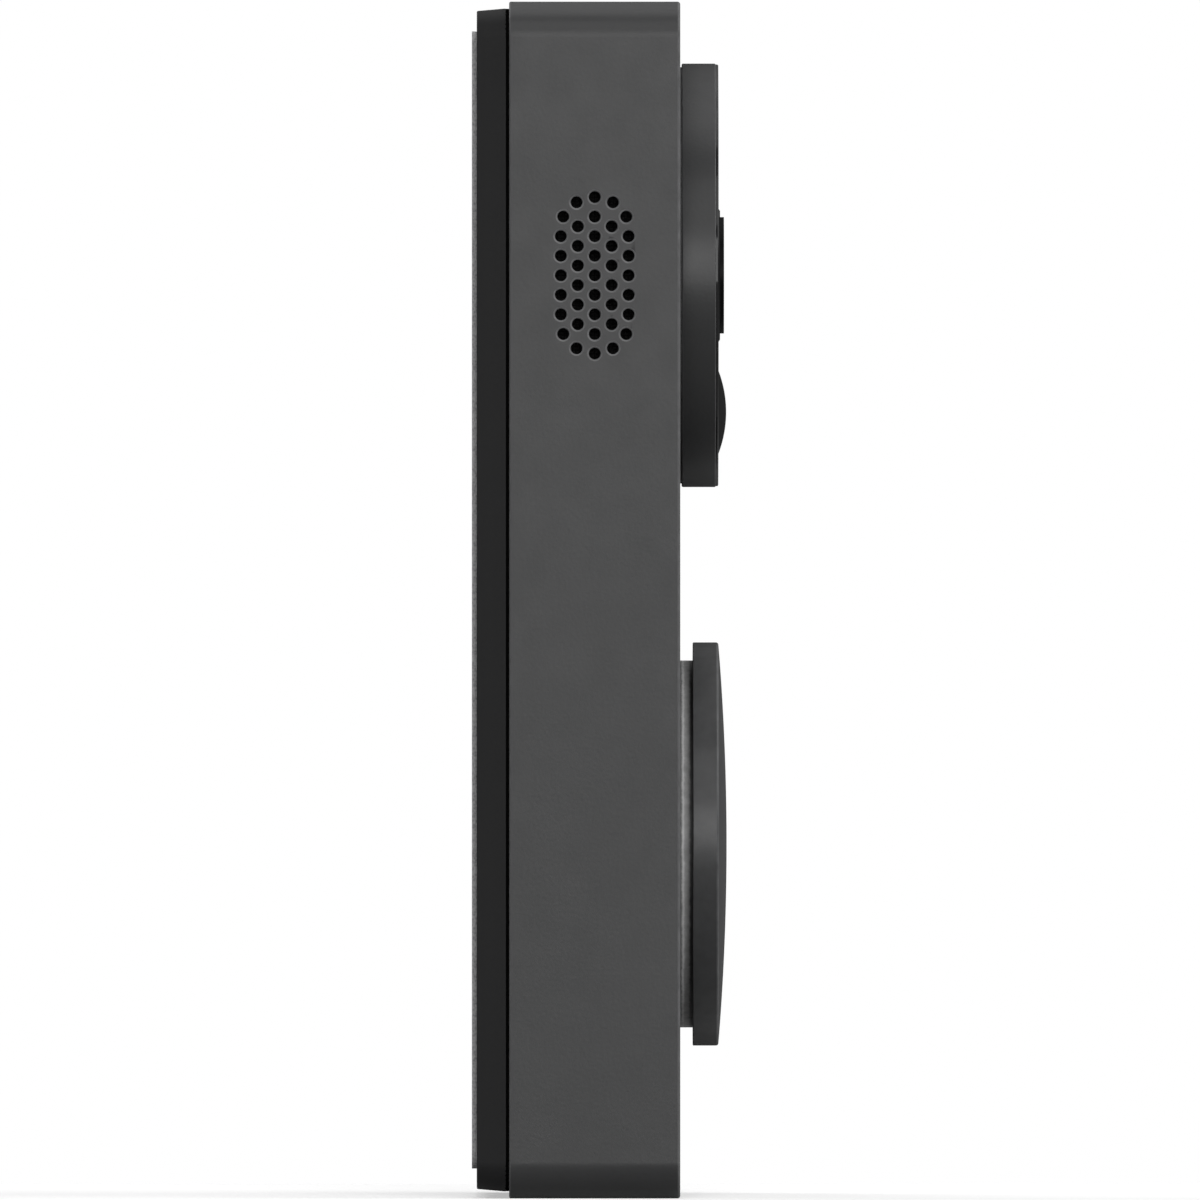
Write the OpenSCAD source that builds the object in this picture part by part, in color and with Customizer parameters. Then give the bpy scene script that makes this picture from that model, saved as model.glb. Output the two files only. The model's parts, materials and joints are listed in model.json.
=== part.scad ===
// Battery video doorbell on its wall plate.
// Frame: origin on the wall at the middle of the body, +X to the right when facing the doorbell,
// +Y into the wall, +Z up. Depths are measured from the wall towards the front, along -Y.

/* [Body] */
// Width of the front shell
body_w = 65; // [64.5:0.5:80]
// Height of the front shell
body_h = 135; // [133:0.5:160]
// Depth of the front shell, from the seam at the wall plate to its front face
shell_depth = 19.3; // [19.1:0.1:26]
// Radius of the shell's four long corners
corner_r = 4.1; // [4:0.1:8]
// Thickness of the shell's side walls
side_wall = 2; // [1.6:0.1:2.4]
// Thickness of the shell's front wall
front_wall = 2; // [1.8:0.1:2.4]

/* [Wall plate] */
// Depth of the wall plate
plate_depth = 3.5; // [3.4:0.1:6]
// How far the plate's edge lies inside the shell's edge
plate_inset = 0.75; // [0.5:0.05:1.5]
// How far the plate's edge leans in towards the wall
plate_draft = 0.3; // [0:0.1:0.8]
// Thickness of the plate's back
plate_skin = 1.5; // [1.2:0.1:1.6]
// Thickness of the plate's rim
plate_rim = 1.6; // [1.2:0.1:2]
// Thickness of the adhesive pad
pad_t = 0.55; // [0.4:0.05:1.2]
// How far the pad's edge lies inside the plate's edge
pad_inset = 2.3; // [1:0.1:5]
// Diameter of the four wall screw holes
wall_hole_d = 4.4; // [3.5:0.1:5]
// Distance between the wall screw holes, across
wall_hole_dx = 49; // [47:0.5:51]
// Distance between the wall screw holes, up
wall_hole_dz = 88; // [86:0.5:92]
// How far the doorbell lifts to come off the plate's hooks
lift_travel = 4; // [3:0.5:4]

/* [Camera disc] */
// Diameter of the camera disc
disc_d = 48; // [46:0.2:50]
// How far the disc stands out of the front wall
disc_depth = 4.35; // [4.2:0.05:6]
// Distance from the body's top to the disc's top
disc_top = 6.7; // [6:0.1:12]
// Thickness of the disc's side wall
disc_wall = 1.6; // [1.2:0.1:2]
// Diameter of the ring around the lens
trim_d = 15.2; // [14.6:0.1:16]
// How far the ring stands out of the window
trim_h = 0.3; // [0.2:0.05:0.6]
// Diameter of the lens cover glass
glass_d = 13.2; // [12.4:0.1:13.4]
// How far the cover glass stands out of the window
glass_h = 0.65; // [0.4:0.05:1]
// Diameter of the motion sensor's dome
dome_d = 9.7; // [9:0.1:10.5]
// Height of the dome
dome_h = 0.9; // [0.6:0.05:1.4]
// How far the dome lies below the lens
dome_drop = 15.5; // [14.5:0.1:16]

/* [Button] */
// Diameter of the button cap
cap_d = 45.7; // [44:0.1:47]
// Depth of the cap's rim
cap_rim = 2.9; // [2.6:0.05:4]
// How far the cap's face bulges out of its rim
cap_bulge = 0.95; // [0.5:0.05:1.5]
// Gap between the cap and the front wall, where the light ring shows
cap_gap = 1.45; // [1.2:0.05:2]
// Distance from the cap's bottom to the body's bottom
cap_bottom = 17; // [16.5:0.1:20]
// Diameter of the light ring
ring_d = 41.6; // [40:0.1:42]
// Travel of the button
press_travel = 0.6; // [0.3:0.05:0.6]

/* [Speaker grille] */
// Diameter of the grille's holes
grille_hole_d = 1.3; // [0.8:0.05:1.5]
// Distance between neighbouring holes
grille_pitch = 2.205; // [2:0.05:2.4]
// Half the width of the grille's round ends
grille_end_r = 4.1; // [3.8:0.05:4.4]

/* [Batteries] */
// Diameter of a battery
cell_d = 14.5; // [14:0.1:14.5]
// Length of a battery with its raised end
cell_len = 50.5; // [49.5:0.1:50.5]
// Length of a pressed battery spring
spring_len = 3.6; // [3:0.1:4.2]
// Distance from the body's top to the battery bay
bay_top = 9.5; // [9.5:0.1:10]

/* [Hidden] */
$fn = 64;

// Clearances
fit = 0.1;          // between pieces that are dropped into place
glide = 0.05;       // radial, between a moving piece and its guide
cut = 1;            // how far a cutting shape runs past the face it opens
bite = 0.2;         // how far joined shapes of one piece run into each other

// Depths from the wall, rear to front
seam = 0.15;        // open joint between the wall plate and the shell
panel_t = 2.2;
floor_t = 1;        // front wall of the battery bay
board_seat = 1;     // between the battery bay and the main board
board_t = 1;
board_gap = 1.5;    // between the main board and the front wall
plate_floor = pad_t + plate_skin;
plate_front = pad_t + plate_depth;
shell_rear = plate_front + seam;
shell_front = shell_rear + shell_depth;
shell_inside = shell_front - front_wall;
board_front = shell_inside - board_gap;
board_rear = board_front - board_t;
tray_front = board_rear - board_seat;
bay_floor = tray_front - floor_t;
cell_depth = bay_floor - fit - cell_d / 2;
panel_rear = shell_rear + fit;
panel_front = panel_rear + panel_t;

// Inside of the shell
inner_w = body_w - 2 * side_wall;
inner_h = body_h - 2 * side_wall;
inner_r = corner_r - side_wall;
body_bottom = -body_h / 2;
inner_bottom = body_bottom + side_wall;
left_inside = -inner_w / 2;

// Middles of the two discs
disc_z = body_h / 2 - disc_top - disc_d / 2;
cap_z = body_bottom + cap_bottom + cap_d / 2;

// Posts and the screws in them; the middle ones stand between the two discs
post_d = 5.2;
post_gap = 1;       // between a post and the shell's wall
post_x = inner_w / 2 - post_d / 2 - post_gap;
post_z = inner_h / 2 - post_d / 2 - post_gap;
post_mid_z = cap_z + cap_d / 2 - 3.3;
tray_posts = [for (x = [-1, 1], z = [-post_z, post_mid_z, post_z]) [x * post_x, z]];
board_post_d = 4.4;
board_post_x = inner_w / 2 - board_post_d / 2 - 1.9;
board_posts = [for (x = [-1, 1], z = [disc_z - disc_d / 2 - 0.8, cap_z - 20]) [x * board_post_x, z]];
pilot_d = 2;
pilot_depth = 9;
screw_d = pilot_d - 2 * glide;
screw_clear_d = screw_d + 0.4;
head_d = 4.4;
head_t = 1.1;
head_bore = head_t + 0.2;
small_head_d = 3.8;
small_head_t = 0.9;

// Lower bay: terminals on the right, reset button on the left
lower_z = inner_bottom + 8.5;
well_wall = 0.9;
terminal_w = 12;
terminal_h = 9;
terminal_t = 8;
terminal_rear = board_rear - terminal_t;
terminal_x = post_x - post_d / 2 - terminal_w / 2 - well_wall - 1.4;
reset_x = -terminal_x;
reset_d = 3.8;
tamper_x = post_x;
tamper_z = disc_z - 16.6;
tamper_d = 3;
guide_wall = 1.2;
guide_len = 6;
small_switch_w = 4.5;
small_switch_h = 1.5;
small_key_d = 2;
small_key_in = 0.4; // how far a key's tip reaches into its switch
mic_z = lower_z - 3;
mic_h = 0.9;

// Battery bay: as many columns as fit between the posts, and as many batteries in each as fit
// above the lower bay
bay_side = 0.25;
bay_wall = 1;
contact_t = 0.4;
cell_play = 0.05;
cell_pitch = cell_len + cell_play;
bay_high = body_h / 2 - bay_top;
column_room = inner_w - 2 * (post_gap + post_d + fit + bay_wall + bay_side);
columns = floor(column_room / cell_d);
bay_ends = spring_len + 2 * (contact_t + cell_play);
row_room = bay_high - bay_wall - bay_ends - (lower_z + terminal_h / 2 + fit + well_wall);
rows = floor(row_room / cell_pitch);
bay_w = columns * cell_d + 2 * bay_side;
bay_len = rows * cell_pitch + bay_ends;
bay_low = bay_high - bay_len;
bay_z = (bay_high + bay_low) / 2;
bay_out_w = bay_w + 2 * bay_wall;
side_room = (inner_w - bay_out_w) / 2;

// Speaker grille and the pieces behind it, from the shell's left wall inwards
grille_depth = (shell_rear + shell_front) / 2;
grille_z = disc_z - 0.2;
grille_end_z = 2 * grille_pitch;
sound_w = 2 * grille_end_r + grille_hole_d + 0.1;
sound_h = 4 * grille_end_z + grille_hole_d + 0.66;
speaker_edge = 0.25;                // between the speaker and the tray's panel
speaker_w = 2 * (grille_depth - panel_front - speaker_edge);
speaker_h = sound_h + 4.4;
mesh_t = 0.3;
gasket_t = 0.8;
speaker_t = 3;
magnet_t = side_room - mesh_t - gasket_t - speaker_t - fit;
mesh_in = left_inside + mesh_t;
gasket_in = mesh_in + gasket_t;
frame_in = gasket_in + speaker_t;

// Wall plate and what holds the unit on it
plate_w = body_w - 2 * plate_inset;
plate_h = body_h - 2 * plate_inset;
plate_r = corner_r - plate_inset;
pad_w = plate_w - 2 * (plate_draft + pad_inset);
pad_h = plate_h - 2 * (plate_draft + pad_inset);
pad_r = 2;
pad_hole_d = wall_hole_d + 1.6;
hook_w = 5;
hook_t = 1.8;
hook_catch = 2.2;
catch_t = 1.4;
hook_room = 0.2;    // clear space round a hook in its pocket
pocket_wall = 0.8;
pocket_w = hook_w + 2 * (hook_room + pocket_wall);
hook_x = inner_w / 2 - fit - pocket_w / 2;
hook_top = hook_t / 2 + hook_catch + hook_room;
hook_low = hook_t / 2 + lift_travel + hook_room;
hooks_z = [post_z - post_d / 2 - fit - pocket_wall - hook_top, body_bottom + 34.5];
hook_catch_rear = panel_front + fit;
hook_front = hook_catch_rear + catch_t;
shelf_w = 12;
shelf_t = 2.5;
shelf_room = 0.5;   // clear space beside and in front of the shelf in its pocket
shelf_lift = 0.3;   // clear space above and below the shelf's travel
shelf_front = shell_rear + 7.8;
shelf_top = inner_bottom + 8.7;
shelf_high = shelf_top + shelf_lift;
shelf_low = shelf_top - shelf_t - lift_travel - shelf_lift;
lock_depth = shell_rear + 4.8;      // axis of the security screw
lock_shank_d = 2.5;
lock_head_d = 5.4;
lock_head_t = 1.1;
lock_head_room = 0.1;

// Camera disc
disc_front = shell_front + disc_depth;
seal_t = 0.2;
seal_inset = 0.4;
bezel_rear = shell_front + seal_t;
window_edge = 0.3;                  // visible edge of the window
window_t = 1.35;
window_rear = disc_front - window_t;
bezel_front = disc_front - window_edge;
disc_inner_d = disc_d - 2 * disc_wall;
disc_opening_d = 32;                // opening in the front wall behind the disc
bezel_flange_d = disc_opening_d + 1;
bezel_flange_t = 0.5;
bezel_post_d = 4;
bezel_post_r = bezel_flange_d / 2 + fit + bezel_post_d / 2;
bezel_post_angles = [90, 210, 330];
bezel_head_t = 1;
optics_rear = bezel_rear + bezel_flange_t;
optics_t = 0.8;
optics_front = optics_rear + optics_t;
optics_d = disc_inner_d - 2 * fit;
sensor_ring_r = disc_d / 2 - 11.3;  // radius on which the infrared lamps sit
dome_flange = 0.9;
dome_skin = 0.5;
camera_board_w = 16;
camera_board_rear = board_front + 0.6;
camera_board_front = camera_board_rear + 0.8;
holder_w = 13;
holder_wall = 2;
holder_front = camera_board_front + 2.6;
barrel_front = window_rear + 0.35;
barrel_d = 10.4;
barrel_foot_d = barrel_d - 1.6;
barrel_bore_d = barrel_d - 3;
glass_rear = disc_front - 0.65;
lens_neck_d = 14;
trim_rear = window_rear - 0.1;
trim_bore_r = glass_d / 2 - 0.9;

// Button
cap_rear = shell_front + cap_gap;
cap_edge = cap_rear + cap_rim;
cap_wall = 1.6;
cap_inside = cap_rear + 1.5;
ring_wall = 2.4;
ring_front = cap_inside - glide;
ring_skirt = 0.6;                   // thin outer skirt that clears the ring's lamps
ring_rear = shell_inside;
flange_d = ring_d + 2.4;
flange_rear = board_front + press_travel + 0.3;
flange_front = shell_inside - fit;
seal_w = 0.9;
seal_rear = shell_inside + (front_wall - seal_w) / 2;
seal_d = ring_d + 2.2;
carrier_d = ring_d - 2 * ring_wall - 2 * fit;
carrier_rear = cap_rear - 0.75;
carrier_t = 1.2;
carrier_post_d = 3;
carrier_post_r = carrier_d / 2 - 5.3;
stem_d = 4.4;
switch_w = 6;
switch_h = 1.2;
switch_top = board_front + switch_h;
plunger_d = 3;
plunger_rear = board_front + press_travel + glide;
plunger_top = switch_top + press_travel + glide;
coil_r = 5;
coil_wire = 0.6;
led_r = ring_d / 2 - ring_skirt - 1;

// Main board and what sits on it
board_w = inner_w - 2.4;
board_h = inner_h - 5;
can_w = 30;
can_h = 11;
can_t = 1.2;
can_wall = 0.3;
can_z = (disc_z - disc_opening_d / 2 + cap_z + flange_d / 2) / 2;
capacitor_d = 6.2;
capacitor_h = 13;
capacitor_x = bay_out_w / 2 + 0.3 + capacitor_d / 2;
antenna_w = 7;
antenna_h = 26;
antenna_t = 0.3;

// Flat shapes and turned shapes that stand on the wall and point to the front
module slab(from, to) {
    translate([0, -from, 0]) rotate([90, 0, 0]) linear_extrude(to - from) children();
}
module rod(d, from, to) {
    slab(from, to) circle(d = d);
}
module block(w, h, from, to) {
    slab(from, to) square([w, h], center = true);
}
module tube(d, bore, from, to) {
    slab(from, to) difference() {
        circle(d = d);
        circle(d = bore);
    }
}
module turned(points) {
    rotate([90, 0, 0]) rotate_extrude() polygon(points);
}
module rounded(w, h, r) {
    square([w - 2 * r, h], center = true);
    square([w, h - 2 * r], center = true);
    for (x = [-1, 1], z = [-1, 1]) translate([x * (w / 2 - r), z * (h / 2 - r)]) circle(r);
}
module at(x, z) {
    translate([x, 0, z]) children();
}
module at_each(places) {
    for (p = places) at(p[0], p[1]) children();
}
// A rod along X, from x0 to x1, at a depth and a height
module cross_rod(d, x0, x1, depth, z) {
    translate([x0, -depth, z]) rotate([0, 90, 0]) cylinder(d = d, h = x1 - x0);
}

// Outline points of a shallow dome, from its edge to its apex
function dome_outline(d, edge, rise, steps = 12) =
    let (ball_r = d * d / (8 * rise) + rise / 2)
    [for (i = [0 : steps]) let (r = d / 2 * (1 - i / steps))
        [r, edge + rise - ball_r + sqrt(ball_r * ball_r - r * r)]];

// A coil of round wire along +Z, from z 0 to the given height at its wire's middle
function coil_ring(r, turns, h, t, wire, sides) = [
    for (k = [0 : sides - 1])
        let (a = 360 * k / sides, out = r + wire / 2 * cos(a), turn = 360 * turns * t)
        [out * cos(turn), out * sin(turn), h * t + wire / 2 * sin(a)]
];
module coil(r, turns, h, wire, steps_per_turn = 16, sides = 6) {
    steps = round(turns * steps_per_turn);
    points = [for (i = [0 : steps]) each coil_ring(r, turns, h, i / steps, wire, sides)];
    sides_faces = [
        for (i = [0 : steps - 1], k = [0 : sides - 1])
            let (a = i * sides + k, b = i * sides + (k + 1) % sides)
            [a, b, b + sides, a + sides]
    ];
    first = [for (k = [sides - 1 : -1 : 0]) k];
    last = [for (k = [0 : sides - 1]) steps * sides + k];
    polyhedron(points, concat(sides_faces, [first, last]));
}

// ---- On the wall ----

wall_holes = [for (x = [-1, 1], z = [-1, 1]) [x * wall_hole_dx / 2, z * wall_hole_dz / 2]];

module wire_window() {
    translate([terminal_x, lower_z + lift_travel / 2])
        square([terminal_w + 1, terminal_h + lift_travel], center = true);
}

module adhesive_pad() {
    color("#767676") difference() {
        slab(0, pad_t) rounded(pad_w, pad_h, pad_r);
        slab(-cut, pad_t + cut) wire_window();
        at_each(wall_holes) rod(pad_hole_d, -cut, pad_t + cut);
    }
}

module plate_cone(r1, r2) {
    translate([0, -pad_t, 0]) rotate([90, 0, 0]) cylinder(r1 = r1, r2 = r2, h = plate_depth, $fn = 32);
}

module hook() {
    block(hook_w, hook_t, plate_floor - bite, hook_front);
    at(0, (hook_t + hook_catch - bite) / 2) block(hook_w, hook_catch + bite, hook_catch_rear, hook_front);
}

module wall_plate() {
    rear_r = plate_r - plate_draft;
    color("#262626") {
        difference() {
            union() {
                difference() {
                    hull() for (x = [-1, 1], z = [-1, 1])
                        at(x * (plate_w / 2 - plate_r), z * (plate_h / 2 - plate_r))
                            plate_cone(rear_r, plate_r);
                    slab(plate_floor, plate_front + cut)
                        rounded(plate_w - 2 * plate_rim, plate_h - 2 * plate_rim, plate_r - plate_rim);
                }
                at(0, shelf_top - shelf_t / 2) block(shelf_w, shelf_t, plate_floor - bite, shelf_front);
                for (x = [-1, 1], z = hooks_z) at(x * hook_x, z) hook();
            }
            slab(pad_t - cut, plate_floor + cut) wire_window();
            at_each(wall_holes) rod(wall_hole_d, pad_t - cut, plate_floor + cut);
            translate([0, -lock_depth, shelf_top - shelf_t - cut])
                cylinder(d = lock_shank_d + 2 * glide, h = shelf_t + 2 * cut);
        }
    }
}

// ---- Shell, tray and batteries ----

// The grille is a hexagonal lattice in five columns, with each end rounded off on an ellipse
grille_lattice = [
    for (column = [-2 : 2], row = [-3 : 3])
        let (z = (row + (column % 2 == 0 ? 0 : 0.5)) * grille_pitch)
        if (abs(z) <= (3 - abs(column) / 2) * grille_pitch + 0.01)
            [column * grille_pitch * cos(30), z]
];
grille_ends = [
    for (side = [-1, 1], a = [30 : 30 : 150])
        [grille_end_r * cos(a), side * (grille_end_z + grille_end_z * sin(a))]
];
grille_holes = concat(grille_lattice, grille_ends);

module front_shell() {
    color("#515151") difference() {
        union() {
            difference() {
                slab(shell_rear, shell_front) rounded(body_w, body_h, corner_r);
                slab(shell_rear - cut, shell_inside) rounded(inner_w, inner_h, inner_r);
            }
            at_each(tray_posts) rod(post_d, panel_front, shell_inside + bite);
            at_each(board_posts) rod(board_post_d, board_front, shell_inside + bite);
        }
        at(0, disc_z) {
            rod(disc_opening_d, shell_inside - cut, shell_front + cut);
            for (a = bezel_post_angles) at(bezel_post_r * cos(a), bezel_post_r * sin(a))
                rod(screw_clear_d, shell_inside - cut, shell_front + cut);
        }
        at(0, cap_z) {
            rod(ring_d + 2 * fit, shell_inside - cut, shell_front + cut);
            rod(seal_d, seal_rear, seal_rear + seal_w);
        }
        at(0, mic_z) rod(1, shell_inside - cut, shell_front + cut);
        at_each(tray_posts) rod(pilot_d, panel_front - cut, panel_front + pilot_depth);
        at_each(board_posts) rod(pilot_d, board_front - cut, shell_inside);
        for (p = grille_holes)
            cross_rod(grille_hole_d, -body_w / 2 - cut, left_inside + cut, grille_depth + p[0], grille_z + p[1]);
        translate([0, -lock_depth, body_bottom - cut]) {
            cylinder(d = lock_shank_d + 0.5, h = side_wall + 2 * cut);
            cylinder(d = lock_head_d + 0.4, h = cut + lock_head_t + lock_head_room);
        }
    }
}

module security_screw() {
    color("silver") translate([0, -lock_depth, body_bottom + lock_head_room]) difference() {
        union() {
            cylinder(d = lock_head_d, h = lock_head_t);
            translate([0, 0, bite])
                cylinder(d = lock_shank_d, h = shelf_top - body_bottom - lock_head_room - 2 * bite);
        }
        translate([0, 0, -cut]) cylinder(d = 1.8, h = cut + lock_head_t - 0.3, $fn = 6);
    }
}

// Hollow in the tray for a hook, open at the back, and the walls that close it
module hook_pocket(wall, from, to) {
    at(0, (hook_top - hook_low) / 2)
        block(hook_w + 2 * (hook_room + wall), hook_top + hook_low + 2 * wall, from, to);
}
module hook_slot() {
    at(0, (hook_t / 2 + hook_room - hook_low) / 2)
        block(hook_w + 2 * hook_room, hook_t / 2 + hook_room + hook_low, panel_rear - cut, panel_front + cut);
}
module at_hooks() {
    for (x = [-1, 1], z = hooks_z) at(x * hook_x, z) children();
}
hook_pocket_front = hook_front + hook_room;

// The tray's solid shapes and what is hollowed out of them
module tray_body() {
    slab(panel_rear, panel_front) rounded(inner_w - 2 * fit, inner_h - 2 * fit, inner_r - fit);
    at(0, bay_z) block(bay_out_w, bay_len + 2 * bay_wall, panel_rear, tray_front);
    at(terminal_x, lower_z)
        block(terminal_w + 2 * (well_wall + fit), terminal_h + 2 * (well_wall + fit),
              panel_rear, board_rear - fit);
    at(0, (inner_bottom + fit + shelf_high + well_wall) / 2)
        block(shelf_w + 2 * (shelf_room + well_wall), shelf_high + well_wall - inner_bottom - fit,
              panel_rear, shelf_front + shelf_room + well_wall);
    at(reset_x, lower_z) rod(reset_d + 2 * guide_wall, panel_rear, panel_front + guide_len);
    at(tamper_x, tamper_z) rod(tamper_d + 2 * guide_wall, panel_rear, panel_front + guide_len);
    at_hooks() hook_pocket(pocket_wall, panel_front - bite, hook_pocket_front + pocket_wall);
}
module tray_hollows() {
    at(0, bay_z) block(bay_w, bay_len, panel_rear - cut, bay_floor);
    at(terminal_x, lower_z)
        block(terminal_w + 2 * fit, terminal_h + 2 * fit, panel_rear - cut, board_rear + cut);
    at(0, (shelf_low + shelf_high) / 2)
        block(shelf_w + 2 * shelf_room, shelf_high - shelf_low, panel_rear - cut, shelf_front + shelf_room);
    at(reset_x, lower_z) rod(reset_d + 2 * glide, panel_rear - cut, panel_front + guide_len + cut);
    at(tamper_x, tamper_z) rod(tamper_d + 2 * glide, panel_rear - cut, panel_front + guide_len + cut);
    at_hooks() {
        hook_slot();
        hook_pocket(0, panel_front, hook_pocket_front);
    }
    translate([0, -lock_depth, body_bottom]) cylinder(d = lock_shank_d + 0.5, h = shelf_top - body_bottom);
    at_each(tray_posts) {
        rod(pilot_d + 0.4, panel_rear - cut, panel_front + cut);
        rod(head_d + 0.4, panel_rear - cut, panel_rear + head_bore);
    }
    difference() {
        slab(gasket_rear, gasket_rear + gasket_w) rounded(inner_w, inner_h, inner_r);
        slab(gasket_rear - cut, gasket_rear + gasket_w + cut) gasket_bed(fit);
    }
    for (t = contact_tails) at(t[0], end_z(t[1]))
        block(tail_w + 0.4, contact_t + 0.4, bay_floor - cut, tray_front + cut);
}

module battery_tray() {
    color("#303234") {
        difference() {
            tray_body();
            tray_hollows();
        }
        cradles();
    }
}

// Ribs that hold each battery at two places along it
cradle_t = 1.5;
module cradles() {
    difference() {
        for (row = [0 : rows - 1], share = [0.25, 0.75]) at(0, cell_top - (row + share) * cell_pitch)
            block(bay_w + bite, cradle_t, cell_depth + cradle_t, bay_floor + bite);
        for (c = [0 : columns - 1]) translate([column_x(c), -cell_depth, bay_low])
            cylinder(d = cell_d + 2 * fit, h = bay_len);
    }
}

gasket_w = 0.8;
gasket_rear = panel_rear + 0.6;
module gasket_bed(gap) {
    rounded(inner_w - 2 * (gap + fit + gasket_w), inner_h - 2 * (gap + fit + gasket_w), inner_r - gasket_w);
}
module tray_gasket() {
    color("#1a1a1a") slab(gasket_rear + glide, gasket_rear + gasket_w - glide) difference() {
        rounded(inner_w - 2 * glide, inner_h - 2 * glide, inner_r - glide);
        gasket_bed(0);
    }
}

module pan_screw(d, t, len) {
    rod(d, -t, 0);
    rod(screw_d, -bite, len);
}

module tray_screws() {
    color("silver") at_each(tray_posts) translate([0, -panel_rear - head_bore, 0]) difference() {
        pan_screw(head_d, head_t, pilot_depth - 1);
        cross_recess(2.2, head_t);
    }
}

// A cross recess in the head of a screw that is driven towards the front
module cross_recess(size, deep) {
    for (a = [0, 90]) rotate([0, a, 0]) block(size, 0.5, -deep - cut, -deep + 0.6);
}

// A battery stands along +Z from its flat end, and the raised end is on top
module battery() {
    body_len = cell_len - 1;
    rotate_extrude() polygon([
        [0, 0], [4.5, 0], [4.5, 0.15], [cell_d / 2 - 0.6, 0.15], [cell_d / 2, 0.6],
        [cell_d / 2, body_len - 0.5], [cell_d / 2 - 0.6, body_len], [3.6, body_len], [2.9, body_len + 0.1],
        [2.75, cell_len], [0, cell_len]
    ]);
}

// Columns run left to right, and their raised ends point up and down by turns
function column_x(c) = (c - (columns - 1) / 2) * cell_d;
function column_up(c) = c % 2 == 0;
cell_top = bay_high - contact_t - cell_play;
cell_bottom = bay_low + contact_t + cell_play;

module batteries() {
    color("#3c4856") for (c = [0 : columns - 1], row = [1 : rows]) translate([column_x(c), -cell_depth, 0])
        if (column_up(c)) translate([0, 0, cell_top - row * cell_pitch + cell_play]) battery();
        else translate([0, 0, cell_bottom + row * cell_pitch - cell_play]) mirror([0, 0, 1]) battery();
}

spring_wire = 0.6;
module battery_spring() {
    translate([0, 0, contact_t + spring_wire / 2 + glide])
        coil(2.8, 3, spring_len - spring_wire - 2 * glide, spring_wire);
}

module battery_springs() {
    color("silver") for (c = [0 : columns - 1])
        translate([column_x(c), -cell_depth, column_up(c) ? bay_low : bay_high])
            mirror([0, 0, column_up(c) ? 0 : 1]) battery_spring();
}

// Contact plates lie against the bay's ends, side 1 on top and side -1 below. A double plate links
// two columns, and the chain's first and last plates have a tail that leads to the board.
plate_gap = 1.2;
tail_w = 3;
contact_spans = [
    for (c = [-1 : 2 : columns - 1]) [max(c, 0), min(c + 1, columns - 1), 1],
    for (c = [0 : 2 : columns - 1]) [c, min(c + 1, columns - 1), -1]
];
contact_tails = [[column_x(0), 1], [column_x(columns - 1), column_up(columns - 1) ? -1 : 1]];
function end_z(side, gap = 0) = side > 0 ? bay_high - contact_t / 2 - gap : bay_low + contact_t / 2 + gap;
module battery_contacts() {
    color("silver") {
        for (s = contact_spans) at((column_x(s[0]) + column_x(s[1])) / 2, end_z(s[2], 0.01))
            block((s[1] - s[0] + 1) * cell_d - plate_gap, contact_t, panel_rear + 1, bay_floor - fit);
        for (t = contact_tails) at(t[0], end_z(t[1]))
            block(tail_w, contact_t - 0.02, bay_floor - 1, board_rear - glide);
    }
}

// ---- Electronics ----

module main_board() {
    color("#1f5a35") difference() {
        slab(board_rear, board_front) rounded(board_w, board_h, 2);
        at_each(tray_posts) rod(post_d + 0.6, board_rear - cut, board_front + cut);
        at_each(board_posts) rod(screw_clear_d, board_rear - cut, board_front + cut);
        at(-board_w / 2, grille_z)
            block(board_w - bay_out_w - 2 * fit, speaker_h + 1, board_rear - cut, board_front + cut);
    }
}

module board_screws() {
    color("silver") at_each(board_posts) translate([0, -board_rear, 0]) difference() {
        pan_screw(small_head_d, small_head_t, board_t + board_gap - fit);
        cross_recess(2, small_head_t);
    }
}

module shield_can() {
    color("#b9bcc0") at(0, can_z) difference() {
        block(can_w, can_h, board_front, board_front + can_t);
        block(can_w - 2 * can_wall, can_h - 2 * can_wall, board_front - cut, board_front + can_t - can_wall);
    }
}

// Chips under the shield can, then those on the back of the board
front_chips = [[0, 9, 9, 0.8], [10, 6, 8, 0.7], [-10, 5, 5, 0.7]];
rear_chips = [
    [-6, lower_z - 2.5, 6, 4, 1.2], [3.5, lower_z - 2.5, 5, 5, 3], [board_post_x, cap_z - 10, 5, 5, 3],
    [-board_post_x, cap_z - 10, 4, 7, 1.5], [board_post_x, disc_z - 11, 4.2, 6, 1.5]
];
module board_chips() {
    color("#222222") {
        for (c = front_chips) at(c[0], can_z) block(c[1], c[2], board_front, board_front + c[3]);
        for (c = rear_chips) at(c[0], c[1]) block(c[2], c[3], board_rear - c[4], board_rear);
    }
}

module power_capacitor() {
    color("#2a2f55") translate([capacitor_x, -board_rear + capacitor_d / 2, disc_z])
        cylinder(d = capacitor_d, h = capacitor_h);
}

module antenna() {
    color("#b5651d")
        translate([inner_w / 2 - glide - antenna_t, -shell_rear - 2 * antenna_w, cap_z - 5])
            cube([antenna_t, antenna_w, antenna_h]);
}

module terminal_block() {
    color("#2d2d2d") at(terminal_x, lower_z) difference() {
        block(terminal_w, terminal_h, terminal_rear, board_rear);
        for (x = [-1, 1]) at(x * terminal_w / 4, 0) {
            rod(4, terminal_rear - cut, terminal_rear + 5);
            at(0, -terminal_h / 2 + 1) block(3.2, 2, terminal_rear - cut, terminal_rear + 4);
        }
    }
}

module terminal_screws() {
    color("silver") at(terminal_x, lower_z) for (x = [-1, 1]) at(x * terminal_w / 4, 0)
        difference() {
            rod(3.9, terminal_rear + 1, terminal_rear + 5);
            block(3, 0.6, terminal_rear, terminal_rear + 1.7);
        }
}

// ---- Camera disc ----

module in_disc() {
    at(0, disc_z) children();
}

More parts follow.
